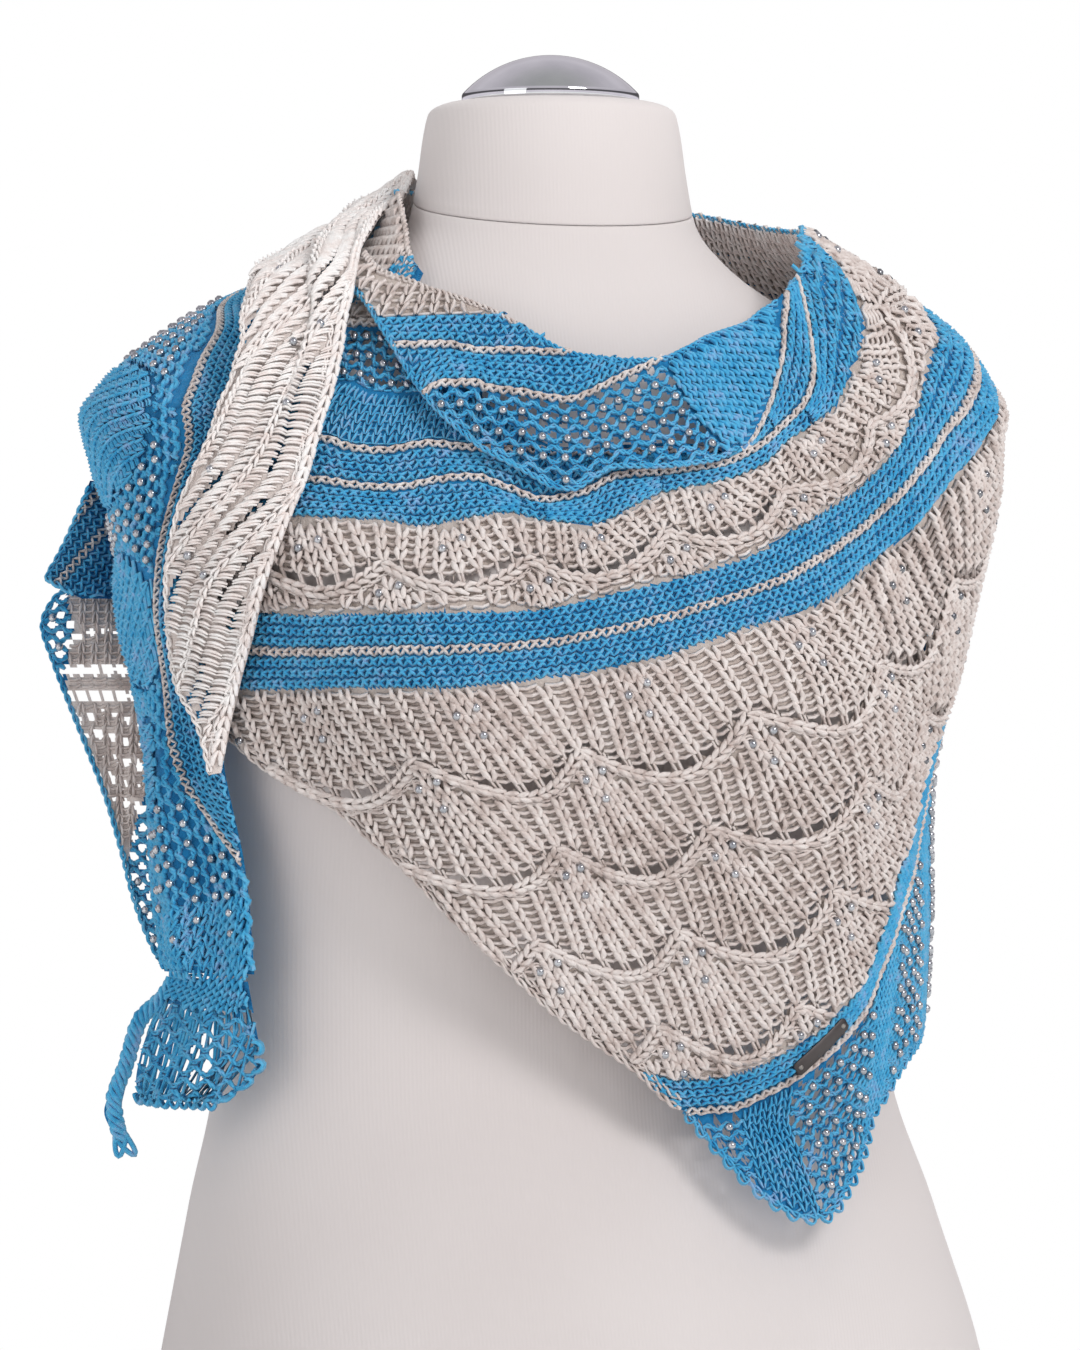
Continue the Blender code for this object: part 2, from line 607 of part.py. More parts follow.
def main():
    clear()
    home = bpy.data.collections.new(COLLECTION)
    bpy.context.scene.collection.children.link(home)
    build_form(home)
    looks = {"scarf_front": "beige", "scarf_cowl": "blue", "scarf_back": "beige",
             "scarf_shoulder": "blue", "scarf_tail": "cream", "scarf_tail_end": "blue",
             "scarf_tail_tip": "blue", "scarf_side_flap": "blue", "scarf_back_end": "beige"}
    for name in STRETCHES:
        build_stretch(name, home, COLOURS[looks[name]])
    build_tag(home)


main()
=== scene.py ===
"""Looks of the knitted lace shawl on its dress form: yarn, stitches, beads,
jersey and chrome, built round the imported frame."""
import math

import bpy
import numpy as np
from mathutils import Matrix, Vector
from mathutils.kdtree import KDTree


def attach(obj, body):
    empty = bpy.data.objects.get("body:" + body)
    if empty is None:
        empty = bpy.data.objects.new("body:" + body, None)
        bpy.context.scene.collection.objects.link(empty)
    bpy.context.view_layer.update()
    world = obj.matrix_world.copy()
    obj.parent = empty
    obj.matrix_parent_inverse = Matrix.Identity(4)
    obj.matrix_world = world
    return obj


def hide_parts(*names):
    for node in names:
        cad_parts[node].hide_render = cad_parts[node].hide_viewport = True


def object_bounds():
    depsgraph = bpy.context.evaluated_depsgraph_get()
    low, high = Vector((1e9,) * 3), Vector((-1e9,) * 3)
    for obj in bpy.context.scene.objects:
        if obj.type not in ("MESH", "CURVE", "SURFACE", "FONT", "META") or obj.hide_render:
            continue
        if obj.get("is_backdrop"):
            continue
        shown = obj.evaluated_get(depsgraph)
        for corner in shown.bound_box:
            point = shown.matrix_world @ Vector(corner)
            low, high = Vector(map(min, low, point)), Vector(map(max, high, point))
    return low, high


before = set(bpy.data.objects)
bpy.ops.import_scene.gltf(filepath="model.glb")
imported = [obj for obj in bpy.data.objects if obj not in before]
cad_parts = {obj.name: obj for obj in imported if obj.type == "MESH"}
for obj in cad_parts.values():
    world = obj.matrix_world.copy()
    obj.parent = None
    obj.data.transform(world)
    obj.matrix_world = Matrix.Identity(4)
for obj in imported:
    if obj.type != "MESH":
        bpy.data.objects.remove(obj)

SIZE_BEFORE = [list(corner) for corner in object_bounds()]

MM = 0.001
SEAM = 0.3                      # mm between touching pieces
CLOTH = 2.2                     # mm, knitted wall
DRAPE_GAP = 5.0                 # mm from the form to the taut drape
SHAWL_TURN = math.radians(-13.0)

# ---------------------------------------------------------------- dress form
FORM_COLUMNS = ("z", "half_width", "front", "back", "power", "lean")
FORM = [  # lean: how far the section leans to the wearer's left
    (0, 190, 170, 114, 2.3, 8),
    (40, 193, 170, 114, 2.3, 8),
    (90, 184, 160, 110, 2.3, 7.5),
    (157, 168, 134, 106, 2.2, 4),
    (220, 153, 112, 102, 2.1, 0.5),
    (270, 152, 110, 106, 2.1, 0),
    (320, 157, 116, 110, 2.1, 0),
    (380, 164, 122, 116, 2.2, 0),
    (440, 174, 114, 120, 2.4, 0),
    (480, 184, 100, 116, 2.5, 0),
    (505, 183, 90, 108, 2.4, 0),
    (525, 163, 80, 100, 2.2, 0),
    (545, 130, 71, 90, 2.1, 0),
    (562, 101, 65, 80, 2.0, 0),
    (575, 82, 62, 74, 2.0, 0),
    (595, 65, 60, 69, 2.0, 0),
    (617, 60.5, 58.5, 65, 2.0, 0),
    (640, 57.5, 55.5, 61, 2.0, 0),
    (650, 55, 53, 58.5, 2.0, 0),
    (653.4, 51.5, 49.5, 54.5, 2.0, 0),
]
BUST = {"z": 388.0, "bearing": 27.0, "out": 34.0, "wide": 21.0, "high": 50.0}
NECK_SEAM_Z, NECK_SEAM_SLOPE = 603.0, 0.20
NECK_TOP_Z = 653.4
CAP_RADIUS, CAP_HEIGHT, CAP_BACK = 40.0, 18.6, 3.0
FORM_RINGS, FORM_STEPS = 21, 44

# ------------------------------------------------------------- shawl tables
# extra stand-off of the cloth from the taut drape, mm, by height and bearing
LIFT_BEARINGS = (-120, -90, -60, -30, 0, 30, 60, 90, 120, 150, 180, 210)
LIFT = [  # z, then one column for each bearing above
    (190, 0, 0, 0, 0, 8, 17, 17, 4, 1, 1, 1, 1),
    (280, 0, 0, 0, 0, 5, 10, 12, 1, 1, 1, 1, 1),
    (345, 0, 0, 0, 0, 1, 3, 5, -4, -1, 1, 1, 1),
    (400, 1, 0, 0, 0, 0, 0, 2, 3, 2, 2, 2, 2),
    (460, 2, 1, 0, 1, 2, 3, 5, 11, 7, 5, 4, 3),
    (500, 4, 2, 1, 3, 6, 7, 9, 15, 12, 10, 8, 5),
    (525, 6, 4, 2, 4, 7, 9, 15, 32, 25, 20, 14, 9),
    (550, 7, 6, 4, 5, 7, 11, 19, 51, 41, 34, 25, 16),
    (570, 9, 7, 6, 8, 10, 13, 22, 57, 47, 42, 30, 20),
    (590, 9, 6, 6, 9, 11, 14, 24, 44, 42, 40, 29, 19),
    (612, 5, 3, 4, 9, 11, 14, 22, 34, 34, 32, 24, 13),
]
# wide lower layer over the chest and the right side: bottom and top edge
FRONT_EDGES = [  # bearing, bottom, top
    (-58, 370, 546), (-50, 353, 551), (-42, 342, 547), (-36, 335, 537),
    (-30, 323, 527), (-24, 310, 520), (-16, 288, 510), (-9, 270, 502),
    (-4, 258, 494), (1, 247, 490), (8, 235, 489.5), (15, 223.5, 491),
    (21, 210, 491.5), (25, 204, 492), (29, 190, 492), (34, 173, 491),
    (38, 164, 488.5), (41, 160, 491), (44, 160, 495), (47, 164, 501),
    (50, 171, 509), (53, 178, 518), (59, 194, 538), (62, 202, 549),
    (65, 209, 559), (69, 218, 567), (75, 226, 577.5), (82, 231, 587),
    (88, 238, 591.5), (95, 251, 594),
]
# rolled neck fold: bottom edge, neckline, stand-off over the layer below
COWL_EDGES = [  # bearing, bottom, top, over
    (-61, 571, 581, 9.5), (-55, 568, 576.5, 9.5), (-50, 561, 572.5, 9.5),
    (-45, 555, 569, 9.5), (-40, 546, 566.5, 9.5), (-34, 533, 562.5, 9),
    (-30, 523, 560.5, 9), (-26, 513.5, 558.5, 9), (-22, 505, 556, 9),
    (-18, 497.5, 553.5, 8.5), (-13, 489, 549.5, 8), (-8, 483, 545, 7.5),
    (-4, 478, 541, 7), (0, 473, 537, 6), (4, 472, 534, 5), (8, 477, 532.5, 4.6),
    (13, 482, 531.5, 5), (20, 482, 530.5, 5.5), (28, 483.5, 531.5, 5.5),
    (34, 486, 535.5, 4.4), (38, 489.8, 538.5, 2.6), (41, 491.5, 541, 1.2),
    (47, 501.5, 544.5, 0.6), (53, 518.5, 548, 0.3), (59, 538.5, 554.5, 0.1),
    (62, 549.5, 557.5, 0.0), (65, 559.6, 562.5, 0.0),
]
# stretch round the back of the neck and shoulders
BACK_EDGES = [  # bearing, bottom, top, over
    (95.3, 252, 594, 0), (103, 280, 595, 0), (112, 322, 597, 0),
    (122, 362, 600, 0), (135, 396, 605, 0), (150, 418, 610, 0),
    (165, 430, 613, 0), (180, 437, 614.5, 0), (198, 438, 615, 0),
    (216, 432, 615, 0), (234, 424, 614, 0), (250, 418, 613, 0),
    (264, 420, 612, 0), (276, 440, 611, 0), (286, 490, 608.5, 0),
    (294, 540, 602, 0), (302, 554, 592, -1), (311, 557, 579.5, -2),
    (319, 557, 570, -3),
]
# blue beaded stretch over the viewer's-left shoulder: each row is a section
# from its inner edge, under the cream strip, to its outer edge
SHOULDER = [  # in_bearing, in_z, in_over, mid_over, out_bearing, out_z, out_over
    (-98, 592, 9, 14, -132, 577, 12),
    (-84, 580, 12, 27, -132, 556, 16),
    (-74, 568, 13, 40, -131, 530, 17),
    (-66, 555, 12, 34, -129, 502, 13),
    (-58, 536, 9, 23, -126, 474, 10),
    (-53, 514, 7.5, 14, -121, 449, 8),
    (-51, 492, 7, 9.5, -112, 430, 7),
    (-52, 470, 7, 10.5, -100, 420, 9),
    (-53, 448, 7, 11, -88, 410, 10),
    (-54, 425, 8, 10.5, -81, 396, 10),
    (-54, 402, 8.5, 9.5, -77, 380, 10),
    (-54, 380, 8.5, 9.5, -75, 362, 10),
    (-54, 358, 9, 10.5, -74, 344, 11),
    (-52.5, 335, 10, 12, -73.5, 322, 12.5),
    (-51, 312, 10, 13, -73, 300, 14),
    (-50.5, 290, 10, 13.5, -72, 279, 14.5),
    (-50.5, 264, 10, 13, -71, 263, 15),
]
# cream strip, wrong side out: inner edge by the neck, outer edge on the blue
TAIL = [  # in_bearing, in_z, in_over, mid_over, out_bearing, out_z, out_over
    (-148, 608, 5, 14, -150, 560, 22),
    (-126, 615, 4, 17, -118, 570, 30),
    (-108, 615, 4, 21, -97, 577, 31),
    (-90, 604, 5, 25, -78, 566, 41),
    (-70, 591, 14, 30, -69, 562, 45),
    (-56, 576, 18, 31, -60, 552, 43),
    (-46, 553, 18, 29, -53, 534, 38),
    (-42.5, 530, 13, 22, -52, 516, 28),
    (-40.5, 507, 10, 17, -52.5, 500, 21),
    (-40.5, 482, 8, 14, -54.5, 479, 17.5),
    (-42, 458, 8, 13.5, -57.5, 456, 17.5),
    (-45, 433, 8, 13.5, -59.5, 434, 17.5),
    (-47.5, 410, 8, 13.5, -60, 411, 17),
    (-50, 390, 8.5, 13.5, -59.5, 391, 17),
    (-52, 370, 10.5, 14, -56, 371, 17),
    (-53, 351, 14, 16.5, -53.9, 350, 18),
]
# flared looped end of the tail, its twisted point, the striped side fold and
# the see-through end behind: x to the viewer's right, t towards the viewer
TAIL_END = [  # z, left_x, left_t, right_x, right_t, bow
    (261, -168, 54, -131, 108, 5),
    (250, -172, 53, -129, 107, 8),
    (238, -178, 52, -127, 105, 10),
    (226, -182, 52, -125, 103, 11),
    (215, -184, 52, -133, 97, 11),
    (208, -183, 53, -146, 87, 9),
]
TAIL_TIP = [  # z, left_x, left_t, right_x, right_t, bow
    (252, -181, 43, -173, 49, 1),
    (240, -187, 41, -178, 46, 1),
    (226, -192, 40, -181.5, 43, 2),
    (212, -197, 39, -186, 40, 2),
    (200, -202, 39, -187.5, 38, 3),
    (190, -197, 40, -185.5, 37, 3),
    (184, -192, 40, -186, 37, 2),
]
SIDE_FLAP = [  # z, left_x, left_t, right_x, right_t, bow
    (482, -211, -37, -200, -56, 1),
    (470, -216, -38, -200, -55, 2),
    (456, -222, -38, -199, -53, 4),
    (446, -227, -37, -198, -50, 5),
    (438, -231, -34, -197, -46, 5),
    (433, -224, -29, -196, -42, 4),
    (428, -214, -24, -196, -38, 2),
]
BACK_END = [  # z, left_x, left_t, right_x, right_t, bow
    (438, -213, -44, -186, -58, 0),
    (428, -228, -42, -186, -54, 3),
    (416, -233, -39, -186, -50, 5),
    (400, -228, -37, -184, -46, 6),
    (382, -221, -35, -181, -42, 5),
    (360, -212, -33, -177, -38, 4),
    (337, -203, -31, -173, -34, 3),
    (314, -196, -28, -170, -30, 2),
    (292, -190, -24, -168, -26, 2),
    (274, -183, -18, -168, -20, 1),
    (262, -177, -14, -170, -16, 0),
]
# soft ridges (positive) and troughs, one row each
FOLDS = [  # from_bearing, from_z, to_bearing, to_z, height, width
    (96, 556, 60, 486, 4.0, 16), (88, 585, 66, 520, -3.0, 12),
    (92, 520, 34, 452, 2.5, 18), (86, 470, 28, 400, -1.5, 20),
    (84, 430, 44, 320, 2.5, 20), (66, 420, 30, 300, -1.5, 18),
    (74, 340, 52, 190, 2.5, 13), (44, 300, 40, 180, -1.5, 12),
    (26, 330, 20, 215, 2.0, 14), (-40, 470, -30, 360, 1.5, 14),
    (-20, 395, -4, 275, 2.0, 14), (20, 520, 60, 545, 2.0, 10),
    (120, 575, 128, 420, 5.0, 16), (146, 590, 150, 450, -3.0, 14),
    (166, 598, 170, 460, 4.5, 15), (190, 600, 200, 460, -2.5, 14),
    (212, 598, 222, 460, 4.0, 15), (240, 598, 246, 450, -2.0, 13),
    (262, 600, 262, 440, 3.0, 12),
]
LIP = [  # bearing, z: crest of the rolled neck fold
    (-61, 575), (-50, 566), (-40, 553), (-30, 534), (-23, 517), (-15, 507),
    (-8, 500), (0, 491), (10, 486), (20, 487), (30, 490), (40, 501), (50, 522), (60, 552),
]
LIP_HEIGHT, LIP_WIDTH = 5.0, 11.0
TAG = {"bearing": (43.4, 52.1), "z": (222.5, 243.0), "width": 6.6,
       "thick": 1.2, "over": 2.6}


# --------------------------------------------------------------- interpolation
def smooth(xs, ys, x):
    """Monotone cubic through a short table, without overshoot."""
    xs, ys = np.asarray(xs, float), np.asarray(ys, float)
    x = np.clip(np.asarray(x, float), xs[0], xs[-1])
    h = np.diff(xs)
    d = np.diff(ys) / h
    m = np.zeros(len(xs))
    same = d[:-1] * d[1:] > 0
    w1, w2 = 2 * h[1:] + h[:-1], h[1:] + 2 * h[:-1]
    da, db = np.where(same, d[:-1], 1.0), np.where(same, d[1:], 1.0)
    m[1:-1] = np.where(same, (w1 + w2) / (w1 / da + w2 / db), 0.0)
    m[0], m[-1] = d[0], d[-1]
    k = np.clip(np.searchsorted(xs, x) - 1, 0, len(xs) - 2)
    t = (x - xs[k]) / h[k]
    return (ys[k] * (1 + 2 * t) * (1 - t) ** 2 + ys[k + 1] * t * t * (3 - 2 * t)
            + h[k] * (m[k] * t * (1 - t) ** 2 - m[k + 1] * t * t * (1 - t)))


def column(table, k):
    return [row[k] for row in table]


# --------------------------------------------------------------- form and drape
def form_radius(theta, z):
    """Distance from the neck axis to the form, theta from -Y towards +X."""
    zs = column(FORM, 0)
    a, f, b, n, lean = (smooth(zs, column(FORM, k), z) for k in (1, 2, 3, 4, 5))
    s, c = np.sin(theta), np.cos(theta)
    a = a + lean * np.sign(s)
    s = np.abs(s)
    d = np.where(c > 0, f, b)
    r = (np.maximum(s / a, 1e-9) ** n + np.maximum(np.abs(c) / d, 1e-9) ** n) ** (-1 / n)
    for side in (-1, 1):
        off = (theta - side * math.radians(BUST["bearing"]) + math.pi) % (2 * math.pi) - math.pi
        dz = z - BUST["z"]
        high = np.where(dz > 0, BUST["high"] * 1.25, BUST["high"])
        r = r + BUST["out"] * np.exp(-(off / math.radians(BUST["wide"])) ** 2 - (dz / high) ** 2)
    return r


DRAPE_Z = np.arange(140, 621, 10.0)
DRAPE_THETA = np.radians(np.arange(0, 360, 5.0))
DRAPE_HANG = (200, 560)         # the cloth bridges hollows between these


def taut_drape(rounds=500):
    tt, zz = np.meshgrid(DRAPE_THETA, DRAPE_Z)
    r = form_radius(tt, zz) + DRAPE_GAP
    step = DRAPE_THETA[1]
    hangs = (zz > DRAPE_HANG[0]) & (zz < DRAPE_HANG[1])
    for _ in range(rounds):
        a, b = np.roll(r, 1, 1), np.roll(r, -1, 1)
        r = np.maximum(r, 2 * a * b * math.cos(step) / (a + b))
        mid = r.copy()
        mid[1:-1] = 0.5 * (r[:-2] + r[2:])
        r = np.maximum(r, np.where(hangs, mid, 0))
    return r


DRAPE = taut_drape()


def cubic(p0, p1, p2, p3, t):
    return p1 + 0.5 * t * (p2 - p0 + t * (2 * p0 - 5 * p1 + 4 * p2 - p3
                                          + t * (3 * (p1 - p2) + p3 - p0)))


def drape(bearing, z):
    """Taut drape, with a cubic between its table's points."""
    theta = (np.radians(bearing) + SHAWL_TURN) % (2 * math.pi)
    u = theta / DRAPE_THETA[1]
    v = np.clip((z - DRAPE_Z[0]) / 10.0, 0, len(DRAPE_Z) - 1.001)
    i, j = np.floor(u).astype(int), np.floor(v).astype(int)
    fu, fv = u - i, v - j
    n, m = len(DRAPE_THETA), len(DRAPE_Z)
    rows = []
    for dj in (-1, 0, 1, 2):
        jj = np.clip(j + dj, 0, m - 1)
        rows.append(cubic(*(DRAPE[jj, (i + di) % n] for di in (-1, 0, 1, 2)), fu))
    return cubic(*rows, fv)


def lift(bearing, z):
    """Stand-off table: smooth in height, then a closed cubic in bearing."""
    cols = np.array([smooth(column(LIFT, 0), column(LIFT, k + 1), z)
                     for k in range(len(LIFT_BEARINGS))])
    n = len(LIFT_BEARINGS)
    u = ((bearing - LIFT_BEARINGS[0]) % 360.0) / 30.0
    i = np.floor(u).astype(int)
    t = u - i
    p = [np.take_along_axis(cols, ((i + k) % n)[None], 0)[0] for k in (-1, 0, 1, 2)]
    m1, m2 = 0.5 * (p[2] - p[0]), 0.5 * (p[3] - p[1])
    return (p[1] * (1 + 2 * t) * (1 - t) ** 2 + p[2] * t * t * (3 - 2 * t)
            + m1 * t * (1 - t) ** 2 - m2 * t * t * (1 - t))


def ridges(bearing, z):
    """Soft folds: each row of FOLDS is a ridge that fades at both ends."""
    total = np.zeros_like(z)
    for b0, z0, b1, z1, height, width in FOLDS:
        wide = 2.6              # mm of cloth for one degree
        off = (bearing - b0 + 180) % 360 - 180
        px, pz = off * wide, z - z0
        lx, lz = (b1 - b0) * wide, z1 - z0
        length = math.hypot(lx, lz)
        s = (px * lx + pz * lz) / length ** 2
        d = (px * lz - pz * lx) / length
        end = np.clip(np.minimum(s + 0.15, 1.15 - s) / 0.45, 0, 1)
        total = total + height * end * end * (3 - 2 * end) * np.exp(-(d / width) ** 2)
    return total


def exact_radius(bearing, z):
    """Middle of the first layer of cloth."""
    bearing, z = np.broadcast_arrays(np.asarray(bearing, float), np.asarray(z, float))
    r = drape(bearing, z) + lift(bearing, z) + ridges(bearing, z)
    keep = form_radius(np.radians(bearing) + SHAWL_TURN, z) + 3.2
    return np.maximum(r, keep)


def lip(bearing, z):
    """Rounded crest of the rolled neck fold."""
    crest = smooth(column(LIP, 0), column(LIP, 1), bearing)
    d = (z - crest) / LIP_WIDTH
    d = np.where(d < 0, d * 0.8, d)
    fade = np.clip((60 - bearing) / 30, 0, 1)
    return LIP_HEIGHT * fade * np.exp(-d * d)


def place(bearing, r, z):
    """Bearing in degrees, radius and height in mm, to metres."""
    theta = np.radians(bearing) + SHAWL_TURN
    return np.stack([r * np.sin(theta), -r * np.cos(theta), z], -1) * MM


def place_flat(x, t, z):
    """x to the viewer's right and t towards the viewer, to metres."""
    c, s = math.cos(SHAWL_TURN), math.sin(SHAWL_TURN)
    return np.stack([x * c + t * s, x * s - t * c, z], -1) * MM


# --------------------------------------------------------------- the stretches
def front_point(u, v):
    b = FRONT_EDGES[0][0] + u * (FRONT_EDGES[-1][0] - FRONT_EDGES[0][0])
    low = smooth(column(FRONT_EDGES, 0), column(FRONT_EDGES, 1), b)
    top = smooth(column(FRONT_EDGES, 0), column(FRONT_EDGES, 2), b)
    z = low + v * (top - low)
    return place(b, cloth_radius(b, z), z)


def cowl_point(u, v):
    b = COWL_EDGES[0][0] + u * (COWL_EDGES[-1][0] - COWL_EDGES[0][0])
    low, top, over = (smooth(column(COWL_EDGES, 0), column(COWL_EDGES, k), b) for k in (1, 2, 3))
    seam = smooth(column(FRONT_EDGES, 0), column(FRONT_EDGES, 2), b) + 4 * SEAM
    low = np.where(b > 40.5, seam, low)
    z = low + v * (top - low)
    r = cloth_radius(b, z) + over * (1 - 0.45 * v) + lip(b, z)
    return place(b, r, z)


def back_point(u, v):
    b = BACK_EDGES[0][0] + u * (BACK_EDGES[-1][0] - BACK_EDGES[0][0])
    low, top, over = (smooth(column(BACK_EDGES, 0), column(BACK_EDGES, k), b) for k in (1, 2, 3))
    z = low + v * (top - low)
    keep = form_radius(np.radians(b) + SHAWL_TURN, z) + 2.6
    return place(b, np.maximum(cloth_radius(b, z) + over, keep), z)


def wrapped_point(table, u, v, waves):
    """Section u of a wrapped stretch, v from its inner to its outer edge."""
    rows = np.linspace(0, 1, len(table))
    ib, iz, io, mo, ob, oz, oo = (smooth(rows, column(table, k), u) for k in range(7))
    b, z = ib + v * (ob - ib), iz + v * (oz - iz)
    over = io * (1 - v) * (1 - 2 * v) + mo * 4 * v * (1 - v) + oo * v * (2 * v - 1)
    z = z + 4 * v * (1 - v) * np.clip(3 * (oz - iz) / 26, -8, 0) * -0.6
    r = cloth_radius(b, z) + over
    for centre, wide, height, start, stop in waves:
        fade = np.clip(np.minimum(u - start, stop - u) / 0.12, 0, 1)
        r = r + height * fade * np.exp(-((v - centre) / wide) ** 2)
    return b, r, z


SHOULDER_WAVES = [  # centre, wide, height, start, stop
    (0.35, 0.10, 2.0, 0.05, 0.60), (0.62, 0.09, -2.0, 0.05, 0.55),
    (0.30, 0.16, -3.0, 0.62, 1.12), (0.60, 0.14, 4.0, 0.62, 1.12),
]
TAIL_WAVES = [
    (0.22, 0.11, 4.5, 0.10, 0.62), (0.45, 0.09, -4.5, 0.10, 0.50),
    (0.72, 0.12, 3.0, 0.08, 0.70), (0.40, 0.16, 2.0, 0.50, 0.98),
]


def shoulder_point(u, v):
    return place(*wrapped_point(SHOULDER, u, v, SHOULDER_WAVES))


def tail_point(u, v):
    return place(*wrapped_point(TAIL, u, v, TAIL_WAVES))


def hanging_point(table, u, v, ripple):
    """A stretch that hangs clear: u down its sections, v left to right."""
    rows = np.linspace(0, 1, len(table))
    z, lx, lt, rx, rt, bow = (smooth(rows, column(table, k), u) for k in range(6))
    x, t = lx + v * (rx - lx), lt + v * (rt - lt)
    t = t + bow * np.sin(math.pi * v) + ripple * np.sin(2 * math.pi * (1.7 * v + 0.6 * u)) * u
    return place_flat(x, t, z)


STRETCHES = {
    "scarf_front": front_point,
    "scarf_cowl": cowl_point,
    "scarf_back": back_point,
    "scarf_shoulder": shoulder_point,
    "scarf_tail": tail_point,
    "scarf_tail_end": lambda u, v: hanging_point(TAIL_END, u, v, 2.5),
    "scarf_tail_tip": lambda u, v: hanging_point(TAIL_TIP, u, v, 0.8),
    "scarf_side_flap": lambda u, v: hanging_point(SIDE_FLAP, u, v, 1.0),
    "scarf_back_end": lambda u, v: hanging_point(BACK_END, u, v, 2.5),
}


# ------------------------------------------------------------ cached surfaces
TABLE_B = np.arange(-180.0, 180.01, 0.75)
TABLE_Z = np.arange(140.0, 622.0, 1.5)


def exact_table():
    bb, zz = np.meshgrid(TABLE_B, TABLE_Z)
    return exact_radius(bb.ravel(), zz.ravel()).reshape(bb.shape)


RADIUS = exact_table()


def cloth_radius(bearing, z):
    """Middle of the first layer of cloth, read from the table above."""
    bearing, z = np.broadcast_arrays(np.asarray(bearing, float), np.asarray(z, float))
    u = ((bearing + 180.0) % 360.0) / 0.75
    v = np.clip((z - 140.0) / 1.5, 0, len(TABLE_Z) - 1.001)
    i, j = np.minimum(u.astype(int), len(TABLE_B) - 2), v.astype(int)
    fu, fv = u - i, v - j
    return ((RADIUS[j, i] * (1 - fu) + RADIUS[j, i + 1] * fu) * (1 - fv)
            + (RADIUS[j + 1, i] * (1 - fu) + RADIUS[j + 1, i + 1] * fu) * fv)


class Surface:
    """A stretch of cloth as a function of two numbers, with its normal."""

    def __init__(self, point, da, db, middle, towards=None):
        self.point, self.da, self.db = point, da, db
        self.sign = 1.0
        a, b = np.array([middle[0]], float), np.array([middle[1]], float)
        p, n = self.at(a, b)
        out = p[0] * (1, 1, 0) if towards is None else np.array(towards)
        self.sign = 1.0 if float(np.dot(n[0], out)) > 0 else -1.0

    def at(self, a, b):
        a, b = np.broadcast_arrays(np.asarray(a, float), np.asarray(b, float))
        shape = a.shape
        a, b = a.ravel(), b.ravel()
        p = self.point(a, b)
        ea = self.point(a + self.da, b) - self.point(a - self.da, b)
        eb = self.point(a, b + self.db) - self.point(a, b - self.db)
        n = np.cross(ea, eb) * self.sign
        n /= np.linalg.norm(n, axis=-1, keepdims=True) + 1e-12
        return p.reshape(shape + (3,)), n.reshape(shape + (3,))


def wrap_point(b, z):
    return place(b, cloth_radius(b, z), z)


def cowl_surface(b, z):
    low, top, over = (smooth(column(COWL_EDGES, 0), column(COWL_EDGES, k), b) for k in (1, 2, 3))
    v = np.clip((z - low) / (top - low), -0.2, 1.1)
    return place(b, cloth_radius(b, z) + over * (1 - 0.45 * v) + lip(b, z), z)


def back_surface(b, z):
    keep = form_radius(np.radians(b) + SHAWL_TURN, z) + 2.6
    low, top, over = (smooth(column(BACK_EDGES, 0), column(BACK_EDGES, k), b) for k in (1, 2, 3))
    return place(b, np.maximum(cloth_radius(b, z) + over, keep), z)


VIEW = np.array([math.sin(SHAWL_TURN), -math.cos(SHAWL_TURN), 0.0])
FRONT = Surface(wrap_point, 0.3, 0.8, (10, 400))
COWL = Surface(cowl_surface, 0.3, 0.8, (0, 510))
BACK = Surface(back_surface, 0.3, 0.8, (180, 520))
SHOULDER_S = Surface(STRETCHES["scarf_shoulder"], 0.004, 0.01, (0.5, 0.5))
TAIL_S = Surface(STRETCHES["scarf_tail"], 0.004, 0.01, (0.5, 0.5))
END_S = Surface(STRETCHES["scarf_tail_end"], 0.01, 0.02, (0.5, 0.5), VIEW)
TIP_S = Surface(STRETCHES["scarf_tail_tip"], 0.01, 0.05, (0.5, 0.5), VIEW)
FLAP_S = Surface(STRETCHES["scarf_side_flap"], 0.01, 0.02, (0.5, 0.5), VIEW)
BACKEND_S = Surface(STRETCHES["scarf_back_end"], 0.01, 0.02, (0.5, 0.5), VIEW)

# ------------------------------------------------------------- pattern lines
LACE_TOP = [  # bearing, z
    (-60, 462), (-44.5, 462), (-37.5, 461), (-30.5, 460), (-23, 457), (-16, 460),
    (-9.5, 463), (1, 459), (7.5, 458), (16, 465.5), (24, 473), (33.5, 477),
    (44.5, 485), (51, 495), (60.5, 508), (67.5, 524), (76, 550), (81, 578), (86, 596), (95, 604),
]
THIN2 = [
    (-60, 478), (-44, 478), (-36, 475), (-29, 473.5), (-22, 477), (-15, 478),
    (-8.5, 473), (-2.5, 468.5), (5.5, 471), (13.5, 479), (24, 481), (34, 483.5),
    (44, 491), (50, 499), (55, 507), (61.5, 524), (65, 542), (69, 567), (72, 590), (80, 604),
]
THIN1 = [
    (-60, 496), (-42.5, 495.5), (-37.5, 491), (-32, 490), (-24.5, 493), (-18, 491),
    (1.5, 489.6), (5, 489), (15, 489.5), (30, 490.5), (41, 491), (47, 501), (50, 509),
    (53, 518), (59, 538), (62, 549), (65, 559), (69, 580),
]
STRIPE_TOP = [
    (-60, 421), (-51.5, 420.5), (-37.5, 418.5), (-27, 419), (-6, 420), (13, 429),
    (34, 442), (46, 456), (59.5, 472), (67, 489), (73, 509), (80, 532), (89.5, 553),
    (104, 572), (125, 588), (150, 597), (180, 601), (230, 600), (264, 596), (290, 590), (319, 560),
]
STRIPE_BOTTOM = [
    (-60, 387), (-52.5, 387), (-25.5, 388), (-18.5, 388), (-0.5, 392.5), (15.5, 400),
    (31, 412.5), (48, 426), (61.5, 443), (71, 459), (78, 480), (85, 496), (92, 516),
    (104, 538), (125, 556), (150, 566), (180, 570), (230, 569), (264, 565), (290, 562), (319, 548),
]
